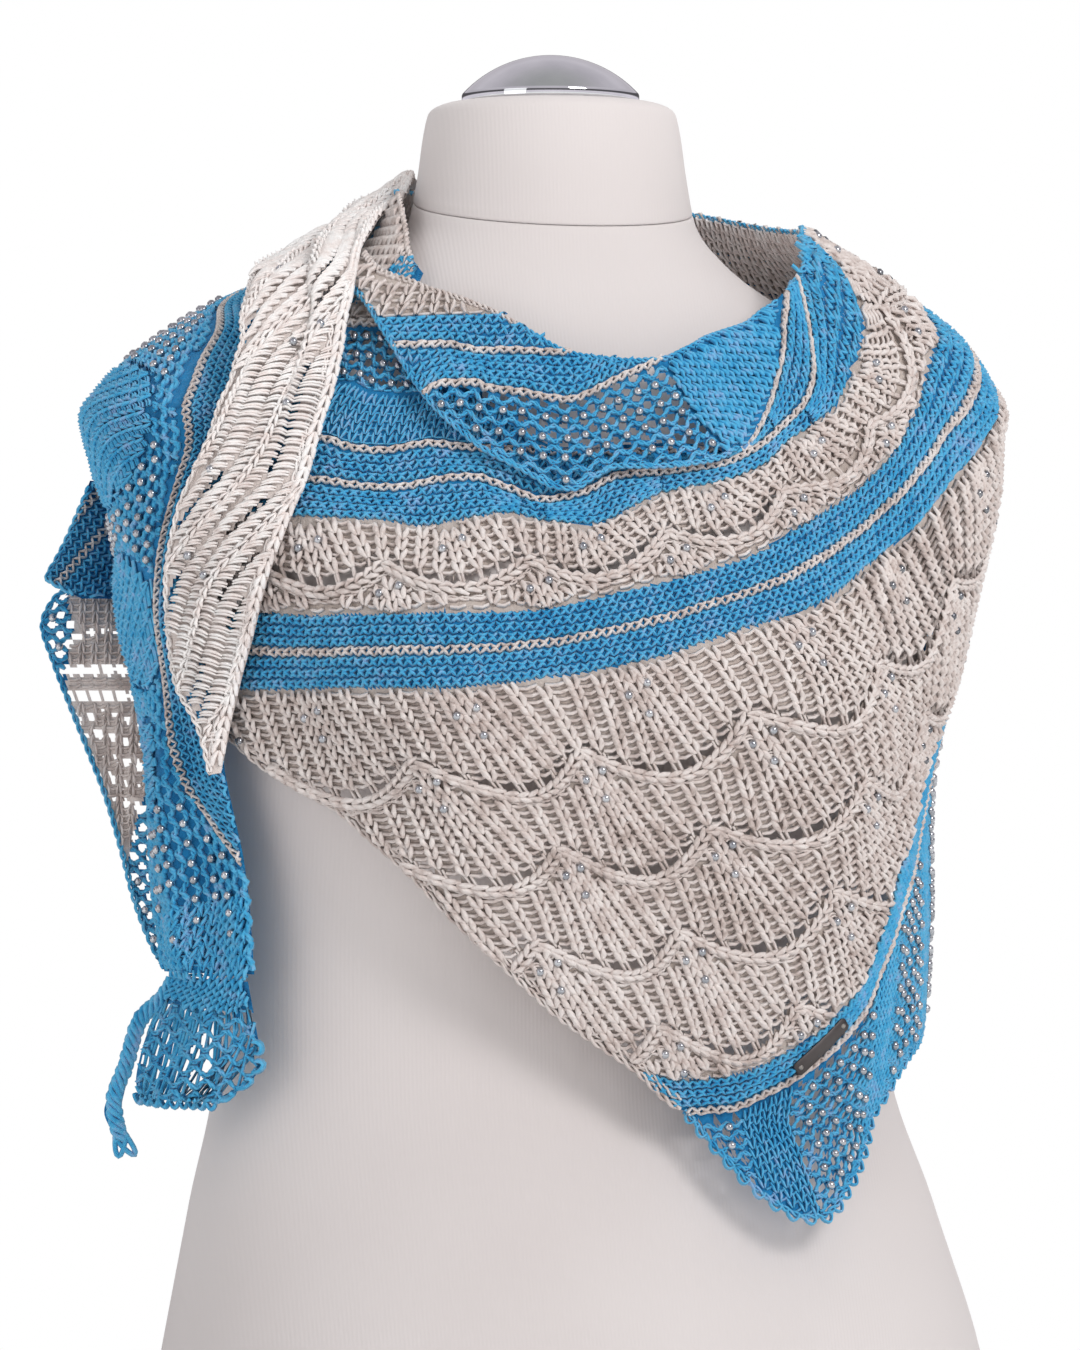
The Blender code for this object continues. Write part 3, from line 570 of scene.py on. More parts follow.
BAND_TOP = [
    (-60, 150), (0, 190), (14.5, 225), (23, 220), (31.5, 221), (38, 226), (44.5, 234),
    (51.5, 247), (56.5, 260), (60, 277), (63.5, 292), (67.5, 309), (75, 323), (82.5, 343),
    (94, 385), (104, 425), (115, 452), (130, 474), (150, 488), (180, 497), (216, 496),
    (250, 486), (264, 482), (276, 498), (286, 535), (294, 574), (302, 590), (319, 592),
]
BAND_DROP = 13.5                # mm from the band's top to its thin line
LEAN = [  # bearing on the stripe, bearing and z reached 150 mm down the lace
    (-60, -38, 247), (-25, 4, 262), (0, 28, 266), (15, 42, 274), (30, 56, 286),
    (46, 72, 296), (59, 83, 312), (71, 94, 330), (85, 104, 362), (100, 112, 392),
]


def curve(table):
    xs, ys = column(table, 0), column(table, 1)
    return lambda b: smooth(xs, ys, b)


lace_top, thin2, thin1 = curve(LACE_TOP), curve(THIN2), curve(THIN1)
stripe_top, stripe_bottom, band_top = curve(STRIPE_TOP), curve(STRIPE_BOTTOM), curve(BAND_TOP)
front_low = curve([(b, lo) for b, lo, hi in FRONT_EDGES])
front_high = curve([(b, hi) for b, lo, hi in FRONT_EDGES])
back_low = curve([row[:2] for row in BACK_EDGES])
back_high = curve([(row[0], row[2]) for row in BACK_EDGES])
cowl_low_edge = curve([row[:2] for row in COWL_EDGES])
cowl_high = curve([(row[0], row[2]) for row in COWL_EDGES])


def cowl_low(b):
    return np.where(b > 40.5, front_high(b) + 4 * SEAM, cowl_low_edge(b))


# ------------------------------------------------------------------- meshing
def run_normals(path):
    t = np.empty_like(path)
    t[:, 1:-1] = path[:, 2:] - path[:, :-2]
    t[:, 0] = path[:, 1] - path[:, 0]
    t[:, -1] = path[:, -1] - path[:, -2]
    return t / (np.linalg.norm(t, axis=-1, keepdims=True) + 1e-12)


def tubes(path, normal, radius, sides=3):
    """Round strands along many paths of equal length: path (N, P, 3) in metres."""
    count, points = path.shape[:2]
    t = run_normals(path)
    side = np.cross(t, normal)
    side /= np.linalg.norm(side, axis=-1, keepdims=True) + 1e-12
    up = np.cross(side, t)
    a = np.arange(sides) * 2 * math.pi / sides + (math.pi / 2 if sides == 3 else 0)
    radius = np.broadcast_to(np.asarray(radius, float) * MM, (count, points))
    ring = (side[:, :, None] * np.cos(a)[:, None] + up[:, :, None] * np.sin(a)[:, None])
    verts = path[:, :, None] + ring * radius[:, :, None, None]
    idx = np.arange(count * points * sides).reshape(count, points, sides)
    p, q = idx[:, :-1], idx[:, 1:]
    quads = np.stack([p, q, np.roll(q, -1, 2), np.roll(p, -1, 2)], -1)
    return verts.reshape(-1, 3), quads.reshape(-1, 4)


class Bag:
    """Collects strands of one colour into one mesh."""

    def __init__(self):
        self.parts = []

    def add(self, part):
        if len(part[1]):
            self.parts.append(part)

    def triangles(self):
        return sum(len(q) for _, q in self.parts) * 2


def mesh_from(name, verts, faces, material, smoothed=True):
    mesh = bpy.data.meshes.new(name)
    faces = np.asarray(faces, dtype=np.int32)
    k = faces.shape[1]
    mesh.vertices.add(len(verts))
    mesh.vertices.foreach_set("co", np.asarray(verts, dtype=np.float32).ravel())
    mesh.loops.add(faces.size)
    mesh.loops.foreach_set("vertex_index", faces.ravel())
    mesh.polygons.add(len(faces))
    mesh.polygons.foreach_set("loop_start", np.arange(0, faces.size, k, dtype=np.int32))
    mesh.polygons.foreach_set("use_smooth", np.full(len(faces), smoothed))
    mesh.update(calc_edges=True)
    mesh.validate()
    for m in material if isinstance(material, (list, tuple)) else [material]:
        mesh.materials.append(m)
    made = bpy.data.objects.new(name, mesh)
    bpy.context.scene.collection.objects.link(made)
    return made


def piece_from(name, bag, material):
    verts, faces, start = [], [], 0
    for v, q in bag.parts:
        verts.append(v)
        faces.append(q + start)
        start += len(v)
    made = mesh_from(name, np.concatenate(verts), np.concatenate(faces), material)
    print(f"{name}: {bag.triangles()} triangles")
    return made


# --------------------------------------------------------------------- fields
class Field:
    """Flat knitted ground in mm: x along the rows, y up the wales, laid on a
    surface by to_surface(x, y) -> (a, b)."""

    def __init__(self, surface, to_surface, inside=None, flip=1.0):
        self.surface, self.to_surface, self.flip = surface, to_surface, flip
        self.inside = inside or (lambda a, b: np.ones(np.shape(a), bool))

    def lay(self, x, y, n):
        a, b = self.to_surface(x, y)
        p, normal = self.surface.at(a, b)
        return p + normal * (np.asarray(n, float) * MM * self.flip)[..., None], normal * self.flip

    def ok(self, x, y):
        return self.inside(*self.to_surface(np.asarray(x, float), np.asarray(y, float)))

    def strands(self, bag, x, y, n, radius, sides=3, centre=None):
        """x, y, n: (N, P) arrays in mm."""
        if not len(x):
            return
        mid = x.shape[1] // 2
        keep = self.ok(x[:, mid], y[:, mid]) & self.ok(x[:, 0], y[:, 0]) & self.ok(x[:, -1], y[:, -1])
        x, y, n = x[keep], y[keep], np.broadcast_to(n, x.shape)[keep]
        if len(x):
            p, normal = self.lay(x, y, n)
            bag.add(tubes(p, normal, radius, sides))


def arc_table(surface, z_of, b0, b1):
    """Arc length in mm along a line of the cloth, and the bearings it visits."""
    b = np.arange(b0, b1 + 0.01, 0.25)
    p, _ = surface.at(b, z_of(b))
    step = np.linalg.norm(np.diff(p, axis=0), axis=1) / MM
    return np.concatenate([[0], np.cumsum(step)]), b


def garter(bag, surface, low, high, rows, b0, b1, inside, width=4.3, thick=1.04, skip=(), sides=3, steps=4):
    """Garter ridges between two lines: each is two yarns of linked bumps."""
    for k in range(rows):
        if k in skip:
            continue
        mid = lambda b, k=k: low(b) + (high(b) - low(b)) * (k + 0.5) / rows
        s, bs = arc_table(surface, mid, b0, b1)
        count = int(s[-1] / width)
        x = np.arange(count * steps + 1) * width / steps
        b = np.interp(x, s, bs)
        pitch = (high(b) - low(b)) / rows
        ok = inside(b, mid(b)) & (pitch > 1.6)
        for part in (0, 1):
            phase = 2 * math.pi * x / width + math.pi * (part + k)
            swing = np.cos(phase)
            sign = 1 if part else -1
            wob = 0.07 * np.sin(x * 0.9 + k * 2.1 + part) + 0.05 * np.sin(x * 0.23 + 5 * k)
            z = mid(b) + pitch * ((0.235 if rows > 1 else 0.17) * sign + (0.19 if rows > 1 else 0.13) * swing + wob)
            n = (1.0 if rows > 1 else 1.25) + 1.0 * -sign * swing
            runs = np.flatnonzero(np.diff(np.concatenate([[0], ok.astype(int), [0]])))
            for i, j in runs.reshape(-1, 2):
                if j - i < 5:
                    continue
                p, normal = surface.at(b[i:j], z[i:j])
                p = p + normal * (n[i:j] * MM)[:, None]
                bag.add(tubes(p[None], normal[None], thick, sides))


def vees(field, bag, paths, link=4.1, width=1.9, thick=0.95, height=1.3, sides=3):
    """Wales of knit stitches along flat paths: each link is a V of two legs."""
    xs, ys, ns = [], [], []
    for path in paths:
        path = np.asarray(path, float)
        d = np.concatenate([[0], np.cumsum(np.linalg.norm(np.diff(path, axis=0), axis=1))])
        count = int(d[-1] / link)
        if count < 1:
            continue
        s = np.arange(count) * link
        c = np.stack([np.interp(s, d, path[:, 0]), np.interp(s, d, path[:, 1])], 1)
        e = np.stack([np.interp(s + link, d, path[:, 0]), np.interp(s + link, d, path[:, 1])], 1)
        t = (e - c) / (np.linalg.norm(e - c, axis=1, keepdims=True) + 1e-9)
        q = np.stack([-t[:, 1], t[:, 0]], 1)
        wide = width * (1 + 0.10 * np.sin(s * 1.7 + path[0, 0]))[:, None]
        for side in (-1, 1):
            legs = [c + t * (a * link) + q * (side * w) * wide for a, w in
                    ((-0.10, 0.16), (0.50, 0.72), (1.12, 0.86))]
            xs.append(np.stack([p[:, 0] for p in legs], 1))
            ys.append(np.stack([p[:, 1] for p in legs], 1))
            ns.append(np.broadcast_to(np.array([height * 0.75, height * 1.35, height * 0.45]), (count, 3)))
    if xs:
        field.strands(bag, np.concatenate(xs), np.concatenate(ys), np.concatenate(ns),
                      np.array([0.55, 1.0, 0.7]) * thick, sides)


def bars(field, bag, a, b, thick=0.62, height=0.35, sag=0.25):
    """Short ladder strands between two sets of flat points (N, 2)."""
    if not len(a):
        return
    a, b = np.asarray(a, float), np.asarray(b, float)
    m = (a + b) / 2
    d = b - a
    q = np.stack([-d[:, 1], d[:, 0]], 1) / (np.linalg.norm(d, axis=1, keepdims=True) + 1e-9)
    m = m - q * sag
    x = np.stack([a[:, 0], m[:, 0], b[:, 0]], 1)
    y = np.stack([a[:, 1], m[:, 1], b[:, 1]], 1)
    field.strands(bag, x, y, np.array([height, height + 0.35, height]), thick)


def rope(field, bag, path, twist=5.0, core=0.95, thick=1.0, height=1.4, sides=3, step=1.3):
    """Two plied yarns along a flat path, for cords and selvedges."""
    path = np.asarray(path, float)
    d = np.concatenate([[0], np.cumsum(np.linalg.norm(np.diff(path, axis=0), axis=1))])
    if d[-1] < 3 * step:
        return
    s = np.arange(0, d[-1], step)
    x, y = np.interp(s, d, path[:, 0]), np.interp(s, d, path[:, 1])
    tx, ty = np.gradient(x), np.gradient(y)
    norm = np.hypot(tx, ty) + 1e-9
    qx, qy = -ty / norm, tx / norm
    ok = field.ok(x, y)
    runs = np.flatnonzero(np.diff(np.concatenate([[0], ok.astype(int), [0]]))).reshape(-1, 2)
    for part in (0, 1):
        a = 2 * math.pi * s / twist / 2 + math.pi * part
        xx, yy = x + qx * core * np.cos(a), y + qy * core * np.cos(a)
        nn = height + 0.7 * core * np.sin(a)
        for i, j in runs:
            if j - i < 4:
                continue
            p, normal = field.lay(xx[i:j][None], yy[i:j][None], nn[i:j][None])
            bag.add(tubes(p, normal, thick, sides))


def ball(radius):
    """Unit of a bead: an eight-sided ball of three rings and two ends, in quads."""
    rings = [(-0.92, 0.39), (-0.38, 0.925), (0.38, 0.925), (0.92, 0.39)]
    sides = 8
    verts = [(r * math.cos(2 * math.pi * k / sides), r * math.sin(2 * math.pi * k / sides), z)
             for z, r in rings for k in range(sides)]
    quads = []
    for i in range(len(rings) - 1):
        for k in range(sides):
            j = (k + 1) % sides
            quads.append((i * sides + k, i * sides + j, (i + 1) * sides + j, (i + 1) * sides + k))
    for base, turn in ((0, -1), ((len(rings) - 1) * sides, 1)):
        cap = [base + k for k in range(sides)][::turn]
        quads += [(cap[0], cap[1], cap[2], cap[3]), (cap[0], cap[3], cap[4], cap[7]),
                  (cap[4], cap[5], cap[6], cap[7])]
    return np.array(verts) * radius * MM, np.array(quads)


BALL_V, BALL_Q = ball(1.0)


def beads(field, bag, x, y, radius=2.05, height=2.3):
    x, y = np.asarray(x, float), np.asarray(y, float)
    keep = field.ok(x, y) & field.ok(x, y - 3.2) & field.ok(x, y + 3.2) & field.ok(x - 3.2, y) & field.ok(x + 3.2, y)
    x, y = x[keep], y[keep]
    if not len(x):
        return
    p, n = field.lay(x, y, np.full(len(x), height))
    v = p[:, None] + BALL_V[None] * radius
    q = BALL_Q[None] + np.arange(len(x))[:, None, None] * len(BALL_V)
    bag.add((v.reshape(-1, 3), q.reshape(-1, 4)))


def net(field, bag, x0, x1, y0, y1, wide=8.8, row=4.4, swing=1.15, thick=0.86, core=0.66, beaded=None, every=2,
        sides=3, steps=8, plies=2, bead_mask=None):
    """Open mesh: rows of plied yarn that swing together and apart. Gives the
    middles of its openings."""
    step = wide / steps
    openings = []
    x = np.arange(x0, x1, step)
    rows = int((y1 - y0) / row)
    for k in range(rows + 1):
        yc = y0 + k * row
        a = 2 * math.pi * x / wide + math.pi * k
        y = yc + swing * np.cos(a)
        ok = field.ok(x, y)
        runs = np.flatnonzero(np.diff(np.concatenate([[0], ok.astype(int), [0]]))).reshape(-1, 2)
        mids = np.arange(math.ceil(x0 / wide), math.floor(x1 / wide)) * wide + (0.0 if k % 2 else wide / 2)
        good = field.ok(mids, np.full(len(mids), yc + row / 2))
        openings += [(float(m), yc + row / 2) for m in mids[good]]
        for part in range(plies):
            tw = 2 * math.pi * x / 5.6 + math.pi * part + k
            yy, nn = y + core * np.cos(tw), 0.9 + 0.7 * core * np.sin(tw)
            for i, j in runs:
                if j - i < 4:
                    continue
                p, normal = field.lay(x[i:j][None], yy[i:j][None], nn[i:j][None])
                bag.add(tubes(p, normal, thick, sides))
        if beaded is not None and k % every == 0:
            xb = np.arange(math.ceil(x0 / wide), math.floor(x1 / wide)) * wide + (wide / 2 if k % 2 else 0)
            yb = np.full(len(xb), yc + 0.8 * math.cos(k * 2.3))
            if bead_mask is not None:
                keep = bead_mask(xb, yb)
                xb, yb = xb[keep], yb[keep]
            beads(field, beaded, xb + 0.6 * np.sin(xb + k), yb, height=2.1)
    return openings


def fan_lace(field, yarn, beaded, x0, x1, top, depth, wide=76.0, row=46.0, dip=20.0, ribs=3, shift=0.0,
             link=5.0, holes=None, thick=1.38, first_row=1):
    """Shell lace: half-drop fans, each opening from the cusp of the row above.
    y runs down from top to top - depth."""
    half = wide / 2
    rows = int(math.ceil(depth / row)) + 1

    def arc(k, x):              # lower edge of row k, as y
        if k < first_row:
            return top + 0.0 * np.asarray(x, float)
        centre = shift + (0.5 * wide if k % 2 else 0.0)
        u = (x - centre) / wide
        u = (u - np.round(u)) * 2
        return top - ((k - first_row + 1) * row - dip * 0.5 + dip * (1 - np.abs(u) ** 1.8))

    xs = np.arange(x0, x1, 2.0)
    for k in range(first_row, first_row + rows):
        centre = shift + (0.5 * wide if k % 2 else 0.0)
        vees(field, yarn, [np.stack([xs, arc(k, xs)], 1)], link=5.4, thick=1.3, width=2.1, height=2.5, sides=4)
        rope(field, yarn, np.stack([xs, arc(k, xs) - 3.6], 1), thick=0.85, core=0.6, height=0.8, twist=5.0, step=1.7)
        first = int(math.floor((x0 - centre) / wide)) - 1
        last = int(math.ceil((x1 - centre) / wide)) + 1
        lines = []
        for i in range(first, last + 1):
            xc = centre + i * wide
            for j in range(-ribs, ribs + 2):
                f = min(abs(j) / (ribs + 1.0), 1.0)
                sgn = 1 if j > 0 else -1
                xa = xc + sgn * half * f ** 1.55
                xb = xc + sgn * half * f ** 0.93
                ya = float(arc(k - 1, np.array(xa))) - (3.4 if k > first_row else 0.4)
                yb = float(arc(k, np.array(xb))) + (7.5 if f < 0.99 else 1.5)
                if ya - yb < 4:
                    lines.append(None)
                    continue
                t = np.linspace(0, 1, 14)
                px = xa + (xb - xa) * (t * 0.6 + 0.4 * t * t)
                lines.append(np.stack([px, ya + (yb - ya) * t], 1))
            ytop = float(arc(k - 1, np.array(xc)))
            bx = np.array([xc - 5.0, xc + 5.0, xc - 0.5])
            by = np.array([ytop - 14.0, ytop - 10.5, ytop - 24.0])
            use = by > float(arc(k, np.array(xc))) + 9
            beads(field, beaded, bx[use], by[use], height=2.9)
            for px, py in zip(bx[use], by[use]):        # small bobble over each bead
                a = np.linspace(0.15, 0.85, 6) * math.pi
                for r in (1.6, 2.9):
                    field.strands(yarn, (px + r * 1.1 * np.cos(a))[None], (py + 1.0 + r * np.sin(a))[None],
                                  np.full((1, 6), 2.0 - 0.3 * r), 0.85)
        vees(field, yarn, [p[::-1] for p in lines if p is not None], link=link, thick=thick, width=2.45, height=2.2, sides=4)
        bar_a, bar_b, post_a, post_b = [], [], [], []
        for p, q in zip(lines[:-1], lines[1:]):
            if p is None or q is None or q[-1, 0] - p[-1, 0] > 20:
                continue
            ylo, yhi = max(p[-1, 1], q[-1, 1]), min(p[0, 1], q[0, 1])
            yy = np.arange(min(p[-1, 1], q[-1, 1]) + 1.2, max(p[0, 1], q[0, 1]) - 0.2, 3.5)
            pa = np.stack([np.interp(-yy, -p[:, 1], p[:, 0]), yy - 0.2], 1)
            pb = np.stack([np.interp(-yy, -q[:, 1], q[:, 0]), yy + 0.4], 1)
            use = pb[:, 0] - pa[:, 0] > 4.6
            pa, pb = pa[use], pb[use]
            pa[:, 0] += 1.6
            pb[:, 0] -= 1.6
            bar_a.append(pa)
            bar_b.append(pb)
            xm = 0.5 * (p[-1, 0] + q[-1, 0])
            ym = float(arc(k, np.array(xm)))
            if holes is not None:
                holes += [(xm - 1.2, ym + 5.0), (xm + 1.2, ym + 5.0)]
            for off in (-3.8, 3.8):
                post_a.append((xm + off, min(ylo, ym + 8.5)))
                post_b.append((xm + off * 1.05, ym + 0.8))
        if bar_a:
            bars(field, yarn, np.concatenate(bar_a), np.concatenate(bar_b), thick=1.22, height=0.75, sag=0.9)
            bars(field, yarn, post_a, post_b, thick=1.0, height=0.9, sag=0.0)


def stacks(field, bag, x0, x1, y0, y1, pitch=9.6, step=3.35, lean=0.55, wave=10.0, thick=1.1, plies=2, rise=1.2):
    """Wrong side of ribbed lace: short bars stacked in leaning columns that
    swell and sink. Gives the flat points between the columns."""
    gaps = []
    t = np.linspace(-1, 1, 5)
    for k, x in enumerate(np.arange(x0, x1, pitch)):
        yy = np.arange(y0, y1, step) + (0.5 * step if k % 2 else 0.0)
        turn = yy / 15.0 + x / 42.0
        xc = x + lean * yy + wave * np.sin(turn)
        tilt = 1.0 * np.cos(turn)
        up = 0.7 + rise * np.clip(np.sin(xc / 12.0 + yy / 10.0), 0, 1)
        for ply in range(plies):
            bx = xc[:, None] + 0.45 * pitch * t
            by = yy[:, None] + tilt[:, None] * t - 0.9 * (1 - t * t) + (ply - 0.5 * (plies - 1)) * 1.25
            bn = up[:, None] + 0.9 * (1 - t * t) - 0.15 * ply
            field.strands(bag, bx, by, bn, thick * np.array([0.7, 1.0, 1.1, 1.0, 0.7]))
        gaps.append(np.stack([xc + 0.5 * pitch, yy], 1))
    return gaps


def picots(field, bag, path, every=8.0, size=2.6, thick=0.9):
    """Small loops along an edge."""
    path = np.asarray(path, float)
    d = np.concatenate([[0], np.cumsum(np.linalg.norm(np.diff(path, axis=0), axis=1))])
    s = np.arange(every / 2, d[-1], every)
    cx, cy = np.interp(s, d, path[:, 0]), np.interp(s, d, path[:, 1])
    ex, ey = np.interp(s + 1, d, path[:, 0]), np.interp(s + 1, d, path[:, 1])
    tx, ty = ex - cx, ey - cy
    norm = np.hypot(tx, ty) + 1e-9
    tx, ty = tx / norm, ty / norm
    a = np.linspace(-0.1, 1.1, 9) * math.pi
    for nudge in (-0.5, 0.5):
        x = cx[:, None] + tx[:, None] * (size * np.cos(a)) + ty[:, None] * (size * 1.1 * np.sin(a))
        y = cy[:, None] + ty[:, None] * (size * np.cos(a)) - tx[:, None] * (size * 1.1 * np.sin(a))
        p, normal = field.lay(x, y, np.broadcast_to(0.8 + nudge + 0.3 * np.cos(3 * a), x.shape))
        bag.add(tubes(p, normal, thick * 0.8, 3))


# ------------------------------------------------------------------ materials
def srgb(text):
    out = []
    for k in (1, 3, 5):
        c = int(text[k:k + 2], 16) / 255
        out.append(c / 12.92 if c <= 0.04045 else ((c + 0.055) / 1.055) ** 2.4)
    return (*out, 1.0)


def new_material(name):
    made = bpy.data.materials.new(name)
    made.use_nodes = True
    tree = made.node_tree
    shader = tree.nodes["Principled BSDF"]
    return made, tree, shader


def yarn_material(name, stops, scale=1.0, bump=0.35, sheen=0.25, ground=False):
    """Heathered yarn: colour patches a few mm long, fine ply and fuzz as bump."""
    made, tree, shader = new_material(name)
    nodes, links = tree.nodes, tree.links
    coord = nodes.new("ShaderNodeTexCoord")
    patch = nodes.new("ShaderNodeTexNoise")
    patch.inputs["Scale"].default_value = 140 * scale
    patch.inputs["Detail"].default_value = 3.0
    patch.inputs["Roughness"].default_value = 0.7
    wide = nodes.new("ShaderNodeTexNoise")
    wide.inputs["Scale"].default_value = 16
    wide.inputs["Detail"].default_value = 2.0
    mix = nodes.new("ShaderNodeMath")
    mix.operation = "MULTIPLY_ADD"
    mix.inputs[1].default_value = 0.35
    ramp = nodes.new("ShaderNodeValToRGB")
    ramp.color_ramp.elements[0].position = stops[0][0]
    ramp.color_ramp.elements[0].color = srgb(stops[0][1])
    ramp.color_ramp.elements[1].position = stops[-1][0]
    ramp.color_ramp.elements[1].color = srgb(stops[-1][1])
    for pos, col in stops[1:-1]:
        e = ramp.color_ramp.elements.new(pos)
        e.color = srgb(col)
    fuzz = nodes.new("ShaderNodeTexNoise")
    fuzz.inputs["Scale"].default_value = 1500
    fuzz.inputs["Detail"].default_value = 2.0
    ply = nodes.new("ShaderNodeTexVoronoi")
    ply.inputs["Scale"].default_value = 620 if not ground else 330
    add = nodes.new("ShaderNodeMath")
    add.operation = "ADD"
    bumped = nodes.new("ShaderNodeBump")
    bumped.inputs["Strength"].default_value = bump
    bumped.inputs["Distance"].default_value = 0.0005 if not ground else 0.0012
    for node in (patch, wide, fuzz, ply):
        links.new(coord.outputs["Object"], node.inputs["Vector"])
    links.new(wide.outputs["Fac"], mix.inputs[0])
    links.new(patch.outputs["Fac"], mix.inputs[2])
    links.new(mix.outputs[0], ramp.inputs["Fac"])
    links.new(ramp.outputs["Color"], shader.inputs["Base Color"])
    links.new(fuzz.outputs["Fac"], add.inputs[0])
    links.new(ply.outputs["Distance"], add.inputs[1])
    links.new(add.outputs[0], bumped.inputs["Height"])
    links.new(bumped.outputs["Normal"], shader.inputs["Normal"])
    shader.inputs["Roughness"].default_value = 0.82
    shader.inputs["Sheen Weight"].default_value = sheen
    shader.inputs["Sheen Roughness"].default_value = 0.5
    shader.inputs["Specular IOR Level"].default_value = 0.25
    return made


BLUE = yarn_material("yarn_blue", [(0.48, "#2B97CC"), (0.62, "#47ABD9"), (0.74, "#5DB5DF"), (0.86, "#86B2DC")])
BEIGE = yarn_material("yarn_beige", [(0.44, "#B5A59E"), (0.56, "#CFC0BA"), (0.68, "#DED2CD"), (0.84, "#EAE1DD")])
CREAM = yarn_material("yarn_cream", [(0.46, "#E7DAD5"), (0.60, "#F5EBE7"), (0.80, "#FDF9F7")])
# grounds under the strands: the cloth's own colour, made darker than its yarn as painted shade in the gaps between
# the stitches; the cream ground is also laid on shaded beige cloth as painted light
BLUE_SHADED_GROUND = yarn_material("ground_blue", [(0.48, "#0F6396"), (0.80, "#1F84BC")], ground=True, bump=0.6, sheen=0.1)
BEIGE_SHADED_GROUND = yarn_material("ground_beige", [(0.48, "#B7A8A0"), (0.80, "#CDC0B8")], ground=True, bump=0.6, sheen=0.1)
CREAM_SHADE_AND_LIGHT_GROUND = yarn_material("ground_cream_painted_shade_and_light", [(0.48, "#D8CBC5"), (0.80, "#E8DDD8")], ground=True, bump=0.6, sheen=0.1)


def bead_material():
    made, tree, shader = new_material("bead_silver")
    nodes, links = tree.nodes, tree.links
    noise = nodes.new("ShaderNodeTexNoise")
    noise.inputs["Scale"].default_value = 90
    coord = nodes.new("ShaderNodeTexCoord")
    ramp = nodes.new("ShaderNodeValToRGB")
    ramp.color_ramp.elements[0].position, ramp.color_ramp.elements[1].position = 0.35, 0.65
    ramp.color_ramp.elements[0].color = srgb("#9B9EA4")
    ramp.color_ramp.elements[1].color = srgb("#C6C8CC")
    links.new(coord.outputs["Object"], noise.inputs["Vector"])
    links.new(noise.outputs["Fac"], ramp.inputs["Fac"])
    links.new(ramp.outputs["Color"], shader.inputs["Base Color"])
    shader.inputs["Metallic"].default_value = 0.9
    shader.inputs["Roughness"].default_value = 0.16
    shader.inputs["Coat Weight"].default_value = 0.4
    shader.inputs["Coat Roughness"].default_value = 0.08
    return made


BEAD = bead_material()


def jersey_material():
    """Pale knitted cover of the form: fine upright ribs."""
    made, tree, shader = new_material("jersey_cream")
    nodes, links = tree.nodes, tree.links
    coord = nodes.new("ShaderNodeTexCoord")
    wave = nodes.new("ShaderNodeTexWave")
    wave.wave_type = "BANDS"
    wave.bands_direction = "X"
    wave.inputs["Scale"].default_value = 190
    wave.inputs["Distortion"].default_value = 0.6
    wave.inputs["Detail"].default_value = 1.0
    fine = nodes.new("ShaderNodeTexNoise")
    fine.inputs["Scale"].default_value = 900
    mapping = nodes.new("ShaderNodeMapping")
    mapping.inputs["Scale"].default_value = (1, 1, 0.35)
    add = nodes.new("ShaderNodeMath")
    add.operation = "MULTIPLY_ADD"
    add.inputs[1].default_value = 0.5
    bumped = nodes.new("ShaderNodeBump")
    bumped.inputs["Strength"].default_value = 0.10
    bumped.inputs["Distance"].default_value = 0.0004
    tone = nodes.new("ShaderNodeTexNoise")
    tone.inputs["Scale"].default_value = 7
    ramp = nodes.new("ShaderNodeValToRGB")
    ramp.color_ramp.elements[0].position, ramp.color_ramp.elements[1].position = 0.3, 0.7
    ramp.color_ramp.elements[0].color = srgb("#D7CECC")
    ramp.color_ramp.elements[1].color = srgb("#DFD7D5")
    links.new(coord.outputs["Object"], mapping.inputs["Vector"])
    links.new(coord.outputs["Object"], wave.inputs["Vector"])
    links.new(coord.outputs["Object"], tone.inputs["Vector"])
    links.new(mapping.outputs["Vector"], fine.inputs["Vector"])
    links.new(fine.outputs["Fac"], add.inputs[0])
    links.new(wave.outputs["Fac"], add.inputs[2])
    links.new(add.outputs[0], bumped.inputs["Height"])
    links.new(bumped.outputs["Normal"], shader.inputs["Normal"])
    links.new(tone.outputs["Fac"], ramp.inputs["Fac"])
    links.new(ramp.outputs["Color"], shader.inputs["Base Color"])
    shader.inputs["Roughness"].default_value = 0.9
    shader.inputs["Sheen Weight"].default_value = 0.15
    shader.inputs["Specular IOR Level"].default_value = 0.2
    return made


JERSEY = jersey_material()


def metal_material(name, colour, rough, coat=0.0, scratch=0.0):
    made, tree, shader = new_material(name)
    nodes, links = tree.nodes, tree.links
    coord = nodes.new("ShaderNodeTexCoord")
    noise = nodes.new("ShaderNodeTexNoise")
    noise.inputs["Scale"].default_value = 60
    noise.inputs["Detail"].default_value = 4
    spread = nodes.new("ShaderNodeMapRange")
    spread.inputs["To Min"].default_value = max(rough - 0.03, 0.02)
    spread.inputs["To Max"].default_value = rough + 0.05 + scratch
    ramp = nodes.new("ShaderNodeValToRGB")
    ramp.color_ramp.elements[0].position, ramp.color_ramp.elements[1].position = 0.3, 0.7
    ramp.color_ramp.elements[0].color = srgb(colour[0])
    ramp.color_ramp.elements[1].color = srgb(colour[1])
    links.new(coord.outputs["Object"], noise.inputs["Vector"])
    links.new(noise.outputs["Fac"], spread.inputs["Value"])
    links.new(spread.outputs["Result"], shader.inputs["Roughness"])
    links.new(noise.outputs["Fac"], ramp.inputs["Fac"])
    links.new(ramp.outputs["Color"], shader.inputs["Base Color"])
    shader.inputs["Metallic"].default_value = 1.0
    shader.inputs["Coat Weight"].default_value = coat
    return made


CHROME = metal_material("chrome", ("#D8DADD", "#E6E8EA"), 0.05)
PLATE = metal_material("dark_plate", ("#55504F", "#686362"), 0.40, scratch=0.1)
RIVET = metal_material("rivet", ("#8F8A85", "#B4AFA8"), 0.3)


